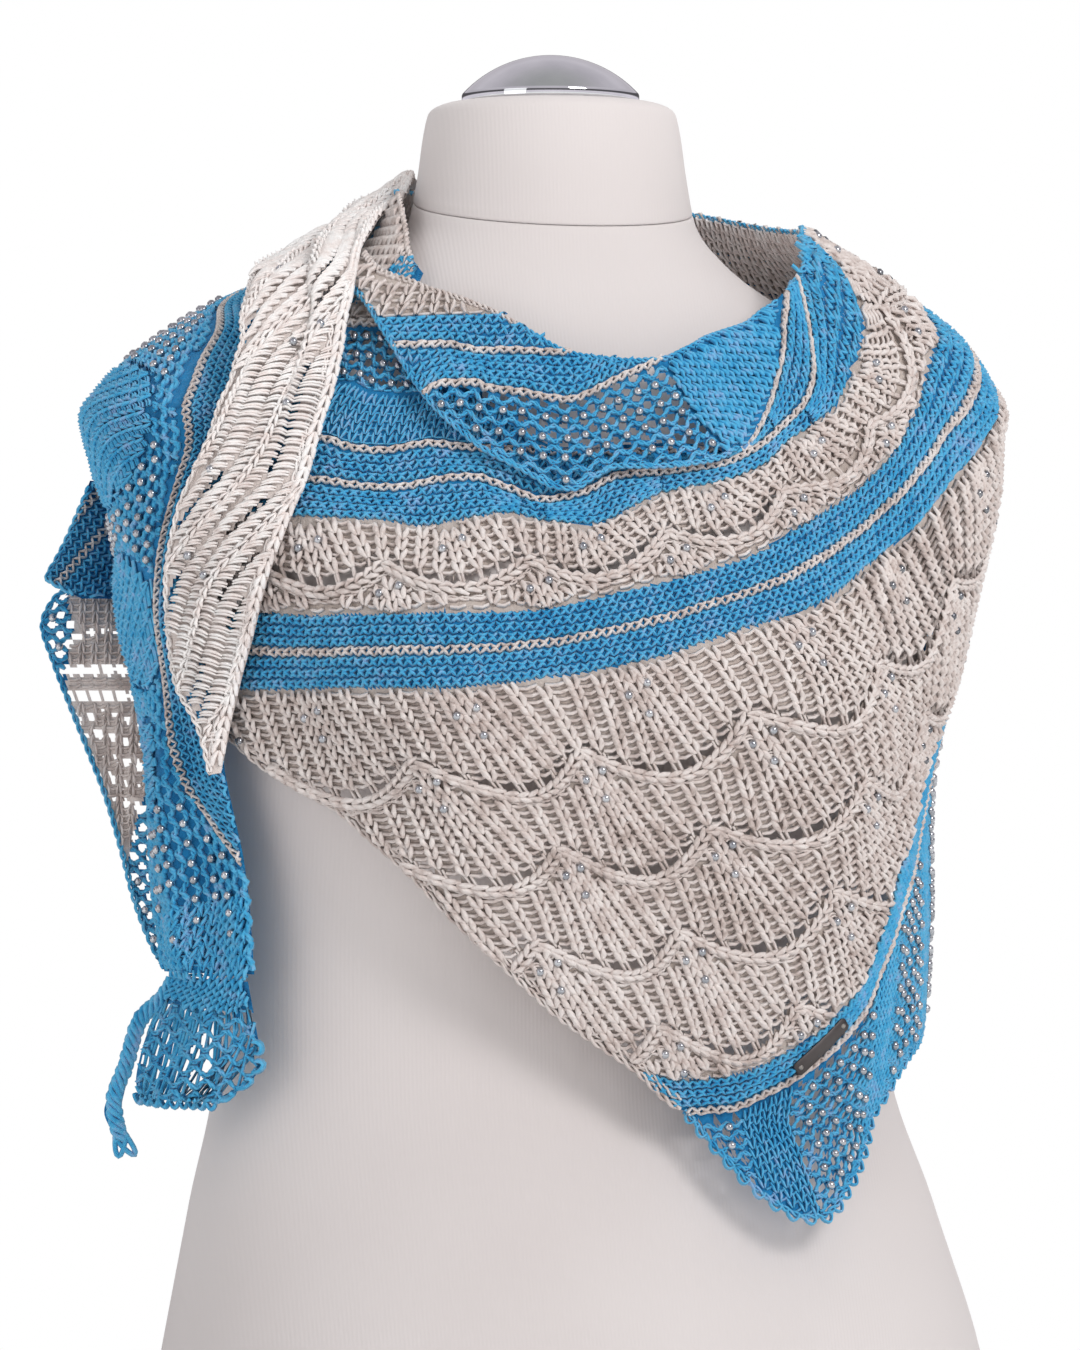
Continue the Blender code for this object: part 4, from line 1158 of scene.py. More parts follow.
# ------------------------------------------------------------------ the form
def ring_mesh(name, rings, material, close_low=False, close_high=False):
    """Quads through closed rings, with poles as small fans of quads if closed."""
    n = len(rings[0])
    rings = list(rings)
    if close_low:
        c = rings[0].mean(0)
        rings = [c + (rings[0] - c) * f for f in (0.004, 0.5, 0.97)] + rings
    if close_high:
        c = rings[-1].mean(0)
        rings = rings + [c + (rings[-1] - c) * f for f in (0.97, 0.5, 0.004)]
    verts = np.concatenate(rings)
    idx = np.arange(len(rings) * n).reshape(len(rings), n)
    p, q = idx[:-1], idx[1:]
    quads = np.stack([p, np.roll(p, -1, 1), np.roll(q, -1, 1), q], -1).reshape(-1, 4)
    return mesh_from(name, verts, quads, material)


def form_ring(thetas, z):
    r = form_radius(thetas, np.full(len(thetas), float(z)) if np.ndim(z) == 0 else z)
    return np.stack([r * np.sin(thetas), -r * np.cos(thetas), z + 0 * r], -1)


def on_seam(thetas, gap):
    z = np.full(len(thetas), NECK_SEAM_Z)
    for _ in range(12):
        r = form_radius(thetas, z)
        z = NECK_SEAM_Z - NECK_SEAM_SLOPE * r * np.cos(thetas) + gap
    r = form_radius(thetas, z)
    return np.stack([r * np.sin(thetas), -r * np.cos(thetas), z], -1)


def tuck(ring, mm):
    """Pull a ring in towards its middle by mm."""
    out = ring.copy()
    r = np.linalg.norm(ring[:, :2], axis=1, keepdims=True)
    out[:, :2] *= (r - mm) / r
    return out


def build_form():
    thetas = np.linspace(0, 2 * math.pi, 120, endpoint=False)
    top = on_seam(thetas, -SEAM / 2)
    rings = [tuck(form_ring(thetas, 0), 3.0), tuck(form_ring(thetas, 0.6), 1.2)]
    rings += [form_ring(thetas, z) for z in [2.5] + list(np.arange(8, 562, 7.5))]
    for part in np.linspace(0, 1, 9)[1:-1]:
        z = 560 + (top[:, 2] - 560) * part
        rings.append(form_ring(thetas, z))
    low = top.copy()
    low[:, 2] -= 1.0
    rings += [form_ring(thetas, low[:, 2]), tuck(top, 0.25), tuck(top, 0.7)]
    torso = ring_mesh("form_torso_cover", [r * MM for r in rings], JERSEY, True, True)
    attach(torso, "root")
    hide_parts("form_torso")

    low = on_seam(thetas, SEAM / 2)
    up = low.copy()
    up[:, 2] += 1.0
    rings = [tuck(low, 0.7), tuck(low, 0.25), form_ring(thetas, up[:, 2])]
    for part in np.linspace(0.08, 1, 14):
        rings.append(form_ring(thetas, up[:, 2] + (647.0 - up[:, 2]) * part))
    for z, inward in ((648.6, 0.0), (650.0, 0.4), (651.2, 1.0), (652.2, 1.9), (652.9, 3.1), (653.25, 4.4), (NECK_TOP_Z, 6.2)):
        rings.append(tuck(form_ring(thetas, z), inward))
    drop = 3.6                                            # the photo's neck ends lower than the solid's
    for ring in rings:
        ring[:, 2] -= drop * np.clip((ring[:, 2] - 612.0) / (NECK_TOP_Z - 612.0), 0, 1)
    top = NECK_TOP_Z - drop
    neck = ring_mesh("form_neck_cover", [r * MM for r in rings], JERSEY, True, True)
    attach(neck, "root")
    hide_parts("form_neck")

    # domed chrome cap with a rolled rim
    tall = CAP_HEIGHT + drop
    profile = [(CAP_RADIUS - 1.2, 0.0), (CAP_RADIUS - 0.3, 0.4), (CAP_RADIUS, 1.5), (CAP_RADIUS, 3.6),
               (CAP_RADIUS - 0.1, 4.4), (CAP_RADIUS - 0.5, 5.0)]
    bow = ((CAP_RADIUS - 0.8) ** 2 + (tall - 5.3) ** 2) / (2 * (tall - 5.3))
    for a in np.linspace(math.asin((CAP_RADIUS - 0.8) / bow), 0.012, 26):
        profile.append((bow * math.sin(a), tall - bow * (1 - math.cos(a))))
    base = top + SEAM
    turn = np.linspace(0, 2 * math.pi, 96, endpoint=False)
    rings = [np.stack([r * np.sin(turn), -r * np.cos(turn) + CAP_BACK, np.full(96, base + h)], -1) * MM
             for r, h in profile]
    cap = ring_mesh("form_cap_chrome", rings, CHROME, True, True)
    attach(cap, "root")
    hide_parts("form_cap")


# ------------------------------------------------------------- ground shells
def shell(name, surface, a_list, b_of, colour_of, mats, hole_of=None, nodes=(), offset=0.0):
    """Thin cloth: a grid over a and v in 0..1, b_of(a, v) giving b. Faces take
    their colour and their holes from the place they cover."""
    a, v = np.meshgrid(a_list, np.linspace(0, 1, b_of[1] + 1), indexing="ij")
    b = b_of[0](a, v)
    p, n = surface.at(a, b)
    p = p + n * (offset * MM)
    na, nb = a.shape
    idx = np.arange(na * nb).reshape(na, nb)
    quads = np.stack([idx[:-1, :-1], idx[1:, :-1], idx[1:, 1:], idx[:-1, 1:]], -1)
    ca = 0.25 * (a[:-1, :-1] + a[1:, :-1] + a[1:, 1:] + a[:-1, 1:])
    cb = 0.25 * (b[:-1, :-1] + b[1:, :-1] + b[1:, 1:] + b[:-1, 1:])
    if surface.sign < 0:
        quads = quads[..., ::-1]
    quads, ca, cb = quads.reshape(-1, 4), ca.ravel(), cb.ravel()
    if hole_of is not None:
        keep = ~hole_of(ca, cb)
        quads, ca, cb = quads[keep], ca[keep], cb[keep]
    used = np.unique(quads)
    remap = np.full(na * nb, -1)
    remap[used] = np.arange(len(used))
    made = mesh_from(name, p.reshape(-1, 3)[used], remap[quads], mats)
    index = colour_of(ca, cb).astype(np.int32)
    made.data.polygons.foreach_set("material_index", index)
    made.data.update()
    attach(made, "root")
    if nodes:
        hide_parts(*nodes)
    area = sum(f.area for f in made.data.polygons)
    print(f"{name}: {len(quads) * 2} triangles, {area:.4f} m2")
    return made, area

# ------------------------------------------------------- the wound stretch
def wrap_both(b, z):
    """Front and back as one run of cloth, bearings -58 to 319."""
    back = back_surface(b, z)
    front = wrap_point(b, z)
    return np.where((b > 95.0)[..., None], back, front)


WRAP = Surface(wrap_both, 0.3, 0.8, (10, 400))


def wrap_low(b):
    return np.where(b < 95.15, front_low(b), back_low(b))


def wrap_high(b):
    return np.where(b < 95.15, front_high(b) + np.where(b < -16, 10.0, 2.0), back_high(b))


def on_wrap(b, z):
    return (b > -57.5) & (b < 316) & (z > wrap_low(b) + 1.0) & (z < wrap_high(b) - 0.5)


def band_thin(b):
    return band_top(b) - BAND_DROP


def lean_field():
    s, bs = arc_table(WRAP, stripe_bottom, -57.0, 316.0)
    lean_b = [row[0] for row in LEAN] + [130, 160, 200, 250, 290, 316]
    to_b = [row[1] for row in LEAN] + [140, 168, 204, 250, 286, 309]
    to_z = [row[2] for row in LEAN] + [408, 418, 420, 416, 412, 400]

    def to_surface(x, y):
        b0 = np.interp(x, s, bs)
        z0 = stripe_bottom(b0)
        f = -y / 150.0
        return b0 + (smooth(lean_b, to_b, b0) - b0) * f, z0 + (smooth(lean_b, to_z, b0) - z0) * f

    def inside(b, z):
        return on_wrap(b, z) & (z > band_top(b) + 0.3) & (z < stripe_bottom(b) + 0.6)

    return Field(WRAP, to_surface, inside), s[-1]


def strip_field(surface, low, high, nominal, b0, b1, inside, lean=0.0):
    """Ground between two lines of the cloth; y from 0 at low to nominal at high."""
    s, bs = arc_table(surface, low, b0, b1)

    def to_surface(x, y):
        b = np.interp(x, s, bs) - lean * y / 3.0
        return b, low(b) + (high(b) - low(b)) * y / nominal

    return Field(surface, to_surface, inside), s[-1]


def stocking(field, bag, x0, x1, y0, y1, pitch=4.6, lean=0.0, link=4.1, thick=0.85, width=1.9,
             mask=None, ladders=None, bend=0.0, height=1.2):
    """Upright wales side by side, with ladders between if they stand apart."""
    t = np.linspace(0, 1, 16)
    paths = []
    for x in np.arange(x0, x1, pitch):
        y = y0 + (y1 - y0) * t
        px = x + lean * (y - y0) + bend * np.sin(math.pi * t)
        if mask is not None:
            ok = mask(px, y)
            if ok.sum() < 3:
                continue
            px, y = px[ok], y[ok]
        paths.append(np.stack([px, y], 1))
    vees(field, bag, paths, link=link, thick=thick, width=width, height=height)
    if ladders:
        for p, q in zip(paths[:-1], paths[1:]):
            yy = np.arange(max(p[0, 1], q[0, 1]), min(p[-1, 1], q[-1, 1]), ladders)
            if len(yy) < 1:
                continue
            pa = np.stack([np.interp(yy, p[:, 1], p[:, 0]) + 1.0, yy], 1)
            pb = np.stack([np.interp(yy, q[:, 1], q[:, 0]) - 1.0, yy + 0.3], 1)
            near = (pb[:, 0] - pa[:, 0] > 0.8) & (pb[:, 0] - pa[:, 0] < 3 * pitch)
            bars(field, bag, pa[near], pb[near], thick=thick * 0.75)


BAGS = {}


def bag(name):
    return BAGS.setdefault(name, Bag())


HOLES = []                      # flat centres of eyelets, as (field, points)
NETS = []                       # the same for the open mesh


def build_wrap():
    blue, beige, pearls = bag("yarn_front_blue"), bag("yarn_front_beige"), bag("beads_front")
    # wide stripe
    for name, b0, b1, steps in (("front", -57.5, 96.0, 4), ("back", 96.0, 316.0, 3)):
        bl, be = bag(f"yarn_{name}_blue"), bag(f"yarn_{name}_beige")
        garter(bl, WRAP, stripe_bottom, stripe_top, 7, b0, min(b1, 284.0), on_wrap, skip=(3,), steps=steps)
        garter(be, WRAP, stripe_bottom, stripe_top, 7, b0, min(b1, 284.0), on_wrap, skip=(0, 1, 2, 4, 5, 6), steps=steps)
        low_b, b1 = max(b0, 14.0), min(b1, 291.0)
        low = lambda b: band_top(b) - 11.5
        garter(bl, WRAP, low, band_top, 3, low_b, b1, on_wrap, steps=steps)
        garter(be, WRAP, lambda b: band_top(b) - 16.0, low, 1, low_b, b1, on_wrap, steps=steps)
    # narrow stripes by the neck
    b_hi = 84.0
    narrow = lambda b, z: on_wrap(b, z) & (thin2(b) - 2.2 - lace_top(b) <= 6.4)
    garter(blue, WRAP, lace_top, lambda b: thin2(b) - 2.2, 4, -57.5, b_hi, on_wrap)
    garter(blue, WRAP, lambda b: lace_top(b) - 0.8, lambda b: np.maximum(thin2(b) - 1.4, lace_top(b) + 2.6), 2, -57.5, b_hi, narrow)
    garter(beige, WRAP, lambda b: thin2(b) - 2.2, lambda b: thin2(b) + 2.2, 1, -57.5, b_hi, on_wrap)
    garter(blue, WRAP, lambda b: thin2(b) + 2.2, lambda b: thin1(b) - 2.2, 3, -57.5, 70.0, on_wrap)
    between = lambda b, z: on_wrap(b, z) & (thin1(b) - thin2(b) - 4.4 <= 4.8)
    garter(blue, WRAP, lambda b: thin2(b) + 1.4, lambda b: np.maximum(thin1(b) - 1.4, thin2(b) + 3.4), 1, -57.5, 70.0, between)
    garter(beige, WRAP, lambda b: thin1(b) - 2.2, lambda b: thin1(b) + 2.2, 1, -57.5, 68.0, on_wrap)
    # lace below the wide stripe
    field, length = lean_field()
    points = []
    split = float(np.interp(96.0, *[v for v in arc_table(WRAP, stripe_bottom, -57.0, 316.0)][::-1]))
    fan_lace(field, beige, pearls, 0.0, split, 0.0, 215.0, shift=10.0, holes=points)
    points = [p for p, good in zip(points, field.ok(*np.array(points).T)) if good]
    HOLES.append((field, np.array(points)))
    points = []
    fan_lace(field, bag("yarn_back_beige"), bag("beads_back"), split, length, 0.0, 150.0, shift=10.0, holes=points, link=4.8)
    points = [p for p, good in zip(points, field.ok(*np.array(points).T)) if good]
    HOLES.append((field, np.array(points)))
    # lace above the wide stripe
    upper, long = strip_field(WRAP, stripe_top, lace_top, 42.0, -57.0, 96.0,
                              lambda b, z: on_wrap(b, z) & (z < lace_top(b)) & (z > stripe_top(b)), lean=0.45)
    points = []
    fan_lace(upper, beige, pearls, -20.0, long, 42.0, 44.0, shift=30.0, wide=66.0, row=26.0, dip=13.0, holes=points)
    points = [p for p, good in zip(points, upper.ok(*np.array(points).T)) if good]
    points = [p for p in points if float(upper.to_surface(np.array(p[0]), np.array(p[1]))[0]) < 44.0]
    HOLES.append((upper, np.array(points)))
    upper_b, long_b = strip_field(BACK, stripe_top, lambda b: stripe_top(b) + 40.0, 40.0, 96.0, 316.0,
                                  lambda b, z: on_wrap(b, z) & (z > stripe_top(b)))
    stocking(upper_b, bag("yarn_back_beige"), 0, long_b, 0.5, 40.0, pitch=6.2, ladders=3.4)
    # blue edging below the band, and its hem
    for name, b0, b1 in (("front", 14.0, 96.0), ("back", 96.0, 316.0)):
        low = lambda b: band_top(b) - 16.0
        edging, long = strip_field(WRAP, low, lambda b: low(b) + 10.0, 10.0, b0, b1,
                                   lambda b, z: on_wrap(b, z) & (z < low(b)))
        drop = 120.0
        ribbed = lambda x: ((x + (10 if name == "front" else 40)) % 88.0) > 62.0
        plain = Field(edging.surface, edging.to_surface, None)
        here = lambda b, z: on_wrap(b, z) & (z < low(b))
        s, bs = arc_table(WRAP, low, b0, b1)
        at_x = lambda b: np.interp(b, bs, s)
        meshy = Field(edging.surface, edging.to_surface, lambda b, z: here(b, z) & ~ribbed(at_x(b)))
        ribby = Field(edging.surface, edging.to_surface, lambda b, z: here(b, z) & ribbed(at_x(b)))
        spots = net(meshy, bag(f"yarn_{name}_blue"), 0, long, -drop, -2.0, beaded=bag(f"beads_{name}"),
                    steps=8 if name == "front" else 6, plies=2 if name == "front" else 1,
                    thick=0.86 if name == "front" else 1.15, every=2 if name == "front" else 4)
        NETS.append((meshy, np.array(spots)))
        stocking(ribby, bag(f"yarn_{name}_blue"), 0, long, -drop, -1.0, pitch=5.4, ladders=3.4)
    # neck side of the left front: ribs, then open mesh, then a thin stripe
    upleft, long = strip_field(WRAP, thin1, lambda b: thin1(b) + 70, 70.0, -57.0, -5.0,
                               lambda b, z: on_wrap(b, z) & (z > thin1(b) + 2))
    stocking(upleft, blue, 0, long, 2.5, 27.0, pitch=5.2, ladders=3.3)
    NETS.append((upleft, np.array(net(upleft, blue, 0, long, 27.0, 47.0, beaded=pearls))))
    garter(beige, WRAP, lambda b: thin1(b) + 49.0, lambda b: thin1(b) + 53.5, 1, -57.0, -20.0, on_wrap)
    collar, long = strip_field(WRAP, lambda b: thin1(b) + 53.5, lambda b: thin1(b) + 93.5, 40.0, -57.0, -8.0,
                               lambda b, z: on_wrap(b, z) & (z > thin1(b) + 53))
    stocking(collar, beige, 0, long, 0.5, 90.0, pitch=7.4, link=4.8, thick=1.3, width=2.1, ladders=3.4, height=1.9)
    turned, long = strip_field(WRAP, lambda b: 0 * b + 520.0, lambda b: 0 * b + 610.0, 90.0, 284.0, 316.0,
                               lambda b, z: on_wrap(b, z) & ~((b > 308.5) & (z < 586)))
    corner = lambda b, z: (z < wrap_high(b) - 0.6) & (z > 552) & (z < 586.5) & (b < 318.8)
    garter(bag("yarn_back_blue"), WRAP, lambda b: 0 * b + 561.0, lambda b: 0 * b + 586.0, 6, 308.5, 318.7, corner)
    stocking(turned, bag("yarn_back_beige"), 0, long, 0.0, 90.0, pitch=7.4, link=4.8, thick=1.3, width=2.1, ladders=3.4, height=1.9)


def edge_rope(field, yarn, path, core=0.9, thick=0.95, height=0.6):
    rope(field, yarn, path, core=core, thick=thick, height=height)


def build_edges():
    """Selvedge of the front, hem with its small loops, neck edge."""
    plain = Field(WRAP, lambda x, y: (x, y), None)
    deg = Field(WRAP, lambda x, y: (x / 3.0, y), None)
    b = np.arange(-57.0, 24.0, 0.5)
    rope(deg, bag("yarn_front_beige"), np.stack([b * 3.0, front_low(b) + 1.2], 1), core=1.0, thick=1.05, height=1.0, twist=7.0)
    rope(deg, bag("yarn_front_beige"), np.stack([b * 3.0, front_low(b) + 5.2], 1), core=0.9, thick=0.9, height=1.0, twist=7.0)
    b = np.arange(24.0, 95.0, 0.5)
    rope(deg, bag("yarn_front_blue"), np.stack([b * 3.0, front_low(b) + 1.0], 1), core=0.8, thick=0.9, height=0.6)
    picots(deg, bag("yarn_front_blue"), np.stack([b * 3.0, front_low(b) + 0.6], 1), every=8.5)
    b = np.arange(95.0, 316.0, 0.5)
    rope(deg, bag("yarn_back_blue"), np.stack([b * 3.0, back_low(b) + 1.0], 1), core=0.8, thick=0.9, height=0.6)
    picots(deg, bag("yarn_back_blue"), np.stack([b * 3.0, back_low(b) + 0.6], 1), every=8.5)
    for colour, b in (("blue", np.arange(66.0, 284.0, 0.5)), ("beige", np.arange(284.0, 314.0, 0.5))):
        top = wrap_high(b)
        rope(deg, bag(f"yarn_back_{colour}"), np.stack([b * 3.0, top - 1.0], 1), core=0.8, thick=0.95, height=0.6)
    for b in np.arange(98.0, 282.0, 5.6):                 # beige loops over the blue rim
        c = b + np.linspace(0, 3.0, 7)
        rope(deg, bag("yarn_back_beige"), np.stack([c * 3.0, wrap_high(c) - 1.2 + 0.8 * np.sin(c * 2)], 1), core=0.9, thick=1.05, height=0.7)


COWL_NET = []


def build_inside():
    """Wrong side of the cloth where the collar stands open at the back."""
    # cream yarn on this beige wrong side is painted light for the shaded inside of the collar
    beige, pearls = bag("yarn_back_cream"), bag("beads_back")
    high = lambda b: wrap_high(b) - 1.0
    for b0, b1 in ((62.0, 84.0), (84.0, 178.0), (178.0, 286.0), (286.0, 315.0)):
        s, bs = arc_table(WRAP, high, b0, b1)
        to = lambda x, y: (np.interp(x, s, bs), high(np.interp(x, s, bs)) + y)
        f = Field(WRAP, to, lambda b, z: (b > b0) & (b < b1), flip=-1.0)
        stocking(f, beige, 0, s[-1], -52.0, -0.5, pitch=5.6, link=4.4, thick=1.0, lean=0.25, ladders=3.2)
        x = np.arange(4, s[-1], 9.0)
        beads(f, pearls, x, -40.0 + 5.0 * np.sin(x / 23.0), radius=1.9, height=2.2)
        beads(f, pearls, x + 4.0, -46.0 + 5.0 * np.sin(x / 23.0), radius=1.9, height=2.2)


def build_cowl():
    blue, beige, pearls = bag("yarn_cowl_blue"), bag("yarn_cowl_beige"), bag("beads_cowl")
    rib_low = curve([(-61, 556), (-50, 552), (-40, 548), (-30.5, 549), (-18, 550), (-12, 551), (0, 556), (70, 600)])
    thin_a = curve([(-61, 540), (-33, 536), (-26, 536), (-16.5, 533.5), (-7.5, 533.5), (2, 533), (8, 533), (14, 540), (70, 600)])
    thin_b = curve([(-61, 500), (-30, 505), (-25.5, 515), (-23, 518.5), (-17.5, 519), (-13.5, 516), (-6.5, 515), (-2.5, 513),
                    (3, 512), (8.5, 515), (15.5, 521), (19.5, 524.5), (24, 527.5), (28, 531), (34, 540), (70, 600)])
    on = lambda b, z: (b > -60.5) & (b < 64.5) & (z > cowl_low(b) + 0.6) & (z < cowl_high(b) - 0.6)
    # ribbed part by the neck
    f, long = strip_field(COWL, rib_low, lambda b: rib_low(b) + 30, 30.0, -60.5, -8.0, lambda b, z: on(b, z) & (z > rib_low(b)))
    stocking(f, beige, 0, long, 1.0, 34.0, pitch=7.6, lean=-0.3, link=4.8, thick=1.3, width=2.1, ladders=3.4, height=2.0)
    garter(blue, COWL, lambda b: thin_a(b) + 2.0, rib_low, 3, -60.5, 14.0, on)
    garter(beige, COWL, lambda b: thin_a(b) - 2.0, lambda b: thin_a(b) + 2.0, 1, -60.5, 14.0, on)
    garter(blue, COWL, lambda b: thin_b(b) + 2.0, lambda b: thin_a(b) - 2.0, 4, -60.5, 34.0, on)
    garter(beige, COWL, lambda b: thin_b(b) - 2.0, lambda b: thin_b(b) + 2.0, 1, -27.0, 34.0, on)
    # open beaded mesh down to the roll, and the slanting ribs at the right
    wall = lambda b, z: 33.0 + (z - 500.0) * -0.18
    f, long = strip_field(COWL, lambda b: thin_b(b) - 2.2, lambda b: thin_b(b) + 7.8, 10.0, -30.0, 40.0,
                          lambda b, z: on(b, z) & (z < thin_b(b) - 2) & (b < wall(b, z)))
    COWL_NET.append((f, np.array(net(f, blue, 0, long, -60.0, -2.5, beaded=pearls, swing=1.3))))
    ribs = Field(COWL, lambda x, y: (x / 3.2, y), lambda b, z: on(b, z) & (b > wall(b, z)) & (z < thin_b(b) - 2))
    stocking(ribs, blue, 60.0, 330.0, 480.0, 566.0, pitch=8.2, lean=-1.0, link=4.8, thick=1.3, width=2.2, ladders=3.5, height=2.1)
    deg = Field(COWL, lambda x, y: (x / 3.0, y), None)
    for yarn, b in ((beige, np.arange(-60.0, -9.0, 0.5)), (blue, np.arange(-9.0, 64.0, 0.5))):
        rope(deg, yarn, np.stack([b * 3.0, cowl_high(b) - 1.0], 1), core=0.8, thick=0.95, height=0.4)
    b = np.arange(-60.0, 40.0, 0.5)
    rope(deg, blue, np.stack([b * 3.0, cowl_low(b) + 1.2], 1), core=0.8, thick=0.9, height=0.4)


def uv_field(surface, inside=None, flip=1.0, near=None):
    """x along the length in mm, y across it in mm from the inner edge."""
    u = np.linspace(0, 1, 161)
    p = surface.point(u, np.full_like(u, 0.5))
    s = np.concatenate([[0], np.cumsum(np.linalg.norm(np.diff(p, axis=0), axis=1))]) / MM
    vv = np.linspace(0, 1, 41)
    uu, vg = np.meshgrid(u, vv, indexing="ij")
    q = surface.point(uu.ravel(), vg.ravel()).reshape(161, 41, 3)
    w = np.linalg.norm(np.diff(q, axis=1), axis=2).sum(1) / MM

    def to_surface(x, y):
        uq = np.interp(x, s, u)
        return uq, y / np.interp(uq, u, w)

    box = lambda a, b: (a > 0.003) & (a < 0.997) & (b > (0.01 if near is None else near(a))) & (b < 0.99)
    test = box if inside is None else (lambda a, b: box(a, b) & inside(a, b))
    made = Field(surface, to_surface, test, flip)
    made.width = lambda x: np.interp(np.interp(x, s, u), u, w)
    made.long, made.s, made.u = s[-1], s, u
    return made


SHOULDER_LINE = curve([  # u, v of the thin beige line
    (0.0, 0.30), (0.06, 0.26), (0.125, 0.217), (0.22, 0.10), (0.33, 0.10), (0.40, 0.133), (0.5, 0.28), (0.62, 0.45),
    (0.70, 0.483), (0.75, 0.44), (0.78, 0.383), (0.825, 0.208), (0.871, 0.033), (0.92, -0.1), (1.0, -0.3)])


def build_shoulder():
    blue, beige, pearls = bag("yarn_shoulder_blue"), bag("yarn_shoulder_beige"), bag("beads_shoulder")
    f = uv_field(SHOULDER_S)
    xs = np.arange(0, f.long, 1.075)
    line = SHOULDER_LINE(np.interp(xs, f.s, f.u)) * f.width(xs)
    for k in range(-12, 1):
        for part in (0, 1):
            sign = 1 if part else -1
            a = 2 * math.pi * xs / 4.3 + math.pi * (part + k)
            y = line + k * 4.4 + 0.95 * sign + 1.05 * np.cos(a)
            n = 1.1 + 0.75 * -sign * np.cos(a)
            ok = f.ok(xs, y)
            runs = np.flatnonzero(np.diff(np.concatenate([[0], ok.astype(int), [0]]))).reshape(-1, 2)
            for i, j in runs:
                if j - i > 5:
                    p, nn = f.lay(xs[i:j][None], y[i:j][None], n[i:j][None])
                    (beige if k == 0 else blue).add(tubes(p, nn, 0.86))
    beyond = lambda u, v: v > SHOULDER_LINE(u) + 0.02
    leaf = lambda u, v, cu, cv, ru, rv: ((u - cu) / ru) ** 2 + ((v - cv) / rv) ** 2 < 1
    lobes = lambda u, v: (leaf(u, v, 0.30, 0.38, 0.085, 0.22) | leaf(u, v, 0.53, 0.66, 0.10, 0.34) | leaf(u, v, 0.12, 0.72, 0.07, 0.22)
                          | leaf(u, v, 0.40, 0.86, 0.06, 0.14) | leaf(u, v, 0.73, 0.80, 0.07, 0.20) | leaf(u, v, 0.30, 0.80, 0.05, 0.12))
    rows = uv_field(SHOULDER_S, lambda u, v: beyond(u, v) & ~lobes(u, v))
    ribs = uv_field(SHOULDER_S, lambda u, v: beyond(u, v) & lobes(u, v))
    net(rows, blue, 0, rows.long, 2.0, 262.0, wide=8.2, row=4.9, swing=1.25, beaded=pearls, every=2, thick=1.18, core=0.9, steps=6,
        bead_mask=lambda x, y: np.sin(x / 19.0 + y / 31.0) + 0.5 * np.sin(x / 7.0 - y / 5.0) > -0.55)
    t = np.linspace(0, 1, 40)
    paths = [np.stack([x + 70 * t + 7.0 * np.sin(14 * t + x / 25.0), 2 + 258 * t], 1) for x in np.arange(-75, rows.long, 9.4)]
    vees(ribs, blue, paths, link=4.8, width=1.9, thick=1.15, height=1.9)
    yy = np.arange(4, 258, 3.4)
    for p, q in zip(paths[:-1], paths[1:]):
        pa = np.stack([np.interp(yy, p[:, 1], p[:, 0]) + 1.8, yy + 0.9], 1)
        pb = np.stack([np.interp(yy, q[:, 1], q[:, 0]) - 1.8, yy - 0.9], 1)
        for lift in (0.0, 1.3):
            bars(ribs, blue, pa + [0, lift], pb + [0, lift], thick=0.8, height=0.9, sag=0.6)
    edge = np.stack([xs, np.maximum(f.width(xs) - 1.6, 1)], 1)
    rope(uv_field(SHOULDER_S), blue, edge, core=0.8, thick=0.95, height=0.6)


TAIL_REACH = curve([  # u, share of the strip's width in view
    (-0.1, 0.98), (0.0, 0.98), (0.10, 0.93), (0.18, 0.84), (0.24, 0.80), (0.30, 0.86), (0.37, 0.97), (0.45, 0.99), (0.8, 0.99), (1.0, 0.99), (1.1, 0.99)])


TAIL_NEAR = curve([  # u, share of the width where the strip's inner edge lies
    (-0.1, 0.01), (0.0, 0.01), (0.05, -0.06), (0.10, -0.15), (0.20, -0.22), (0.27, -0.19), (0.34, -0.08), (0.42, 0.01), (0.6, 0.01), (1.0, 0.01), (1.1, 0.01)])


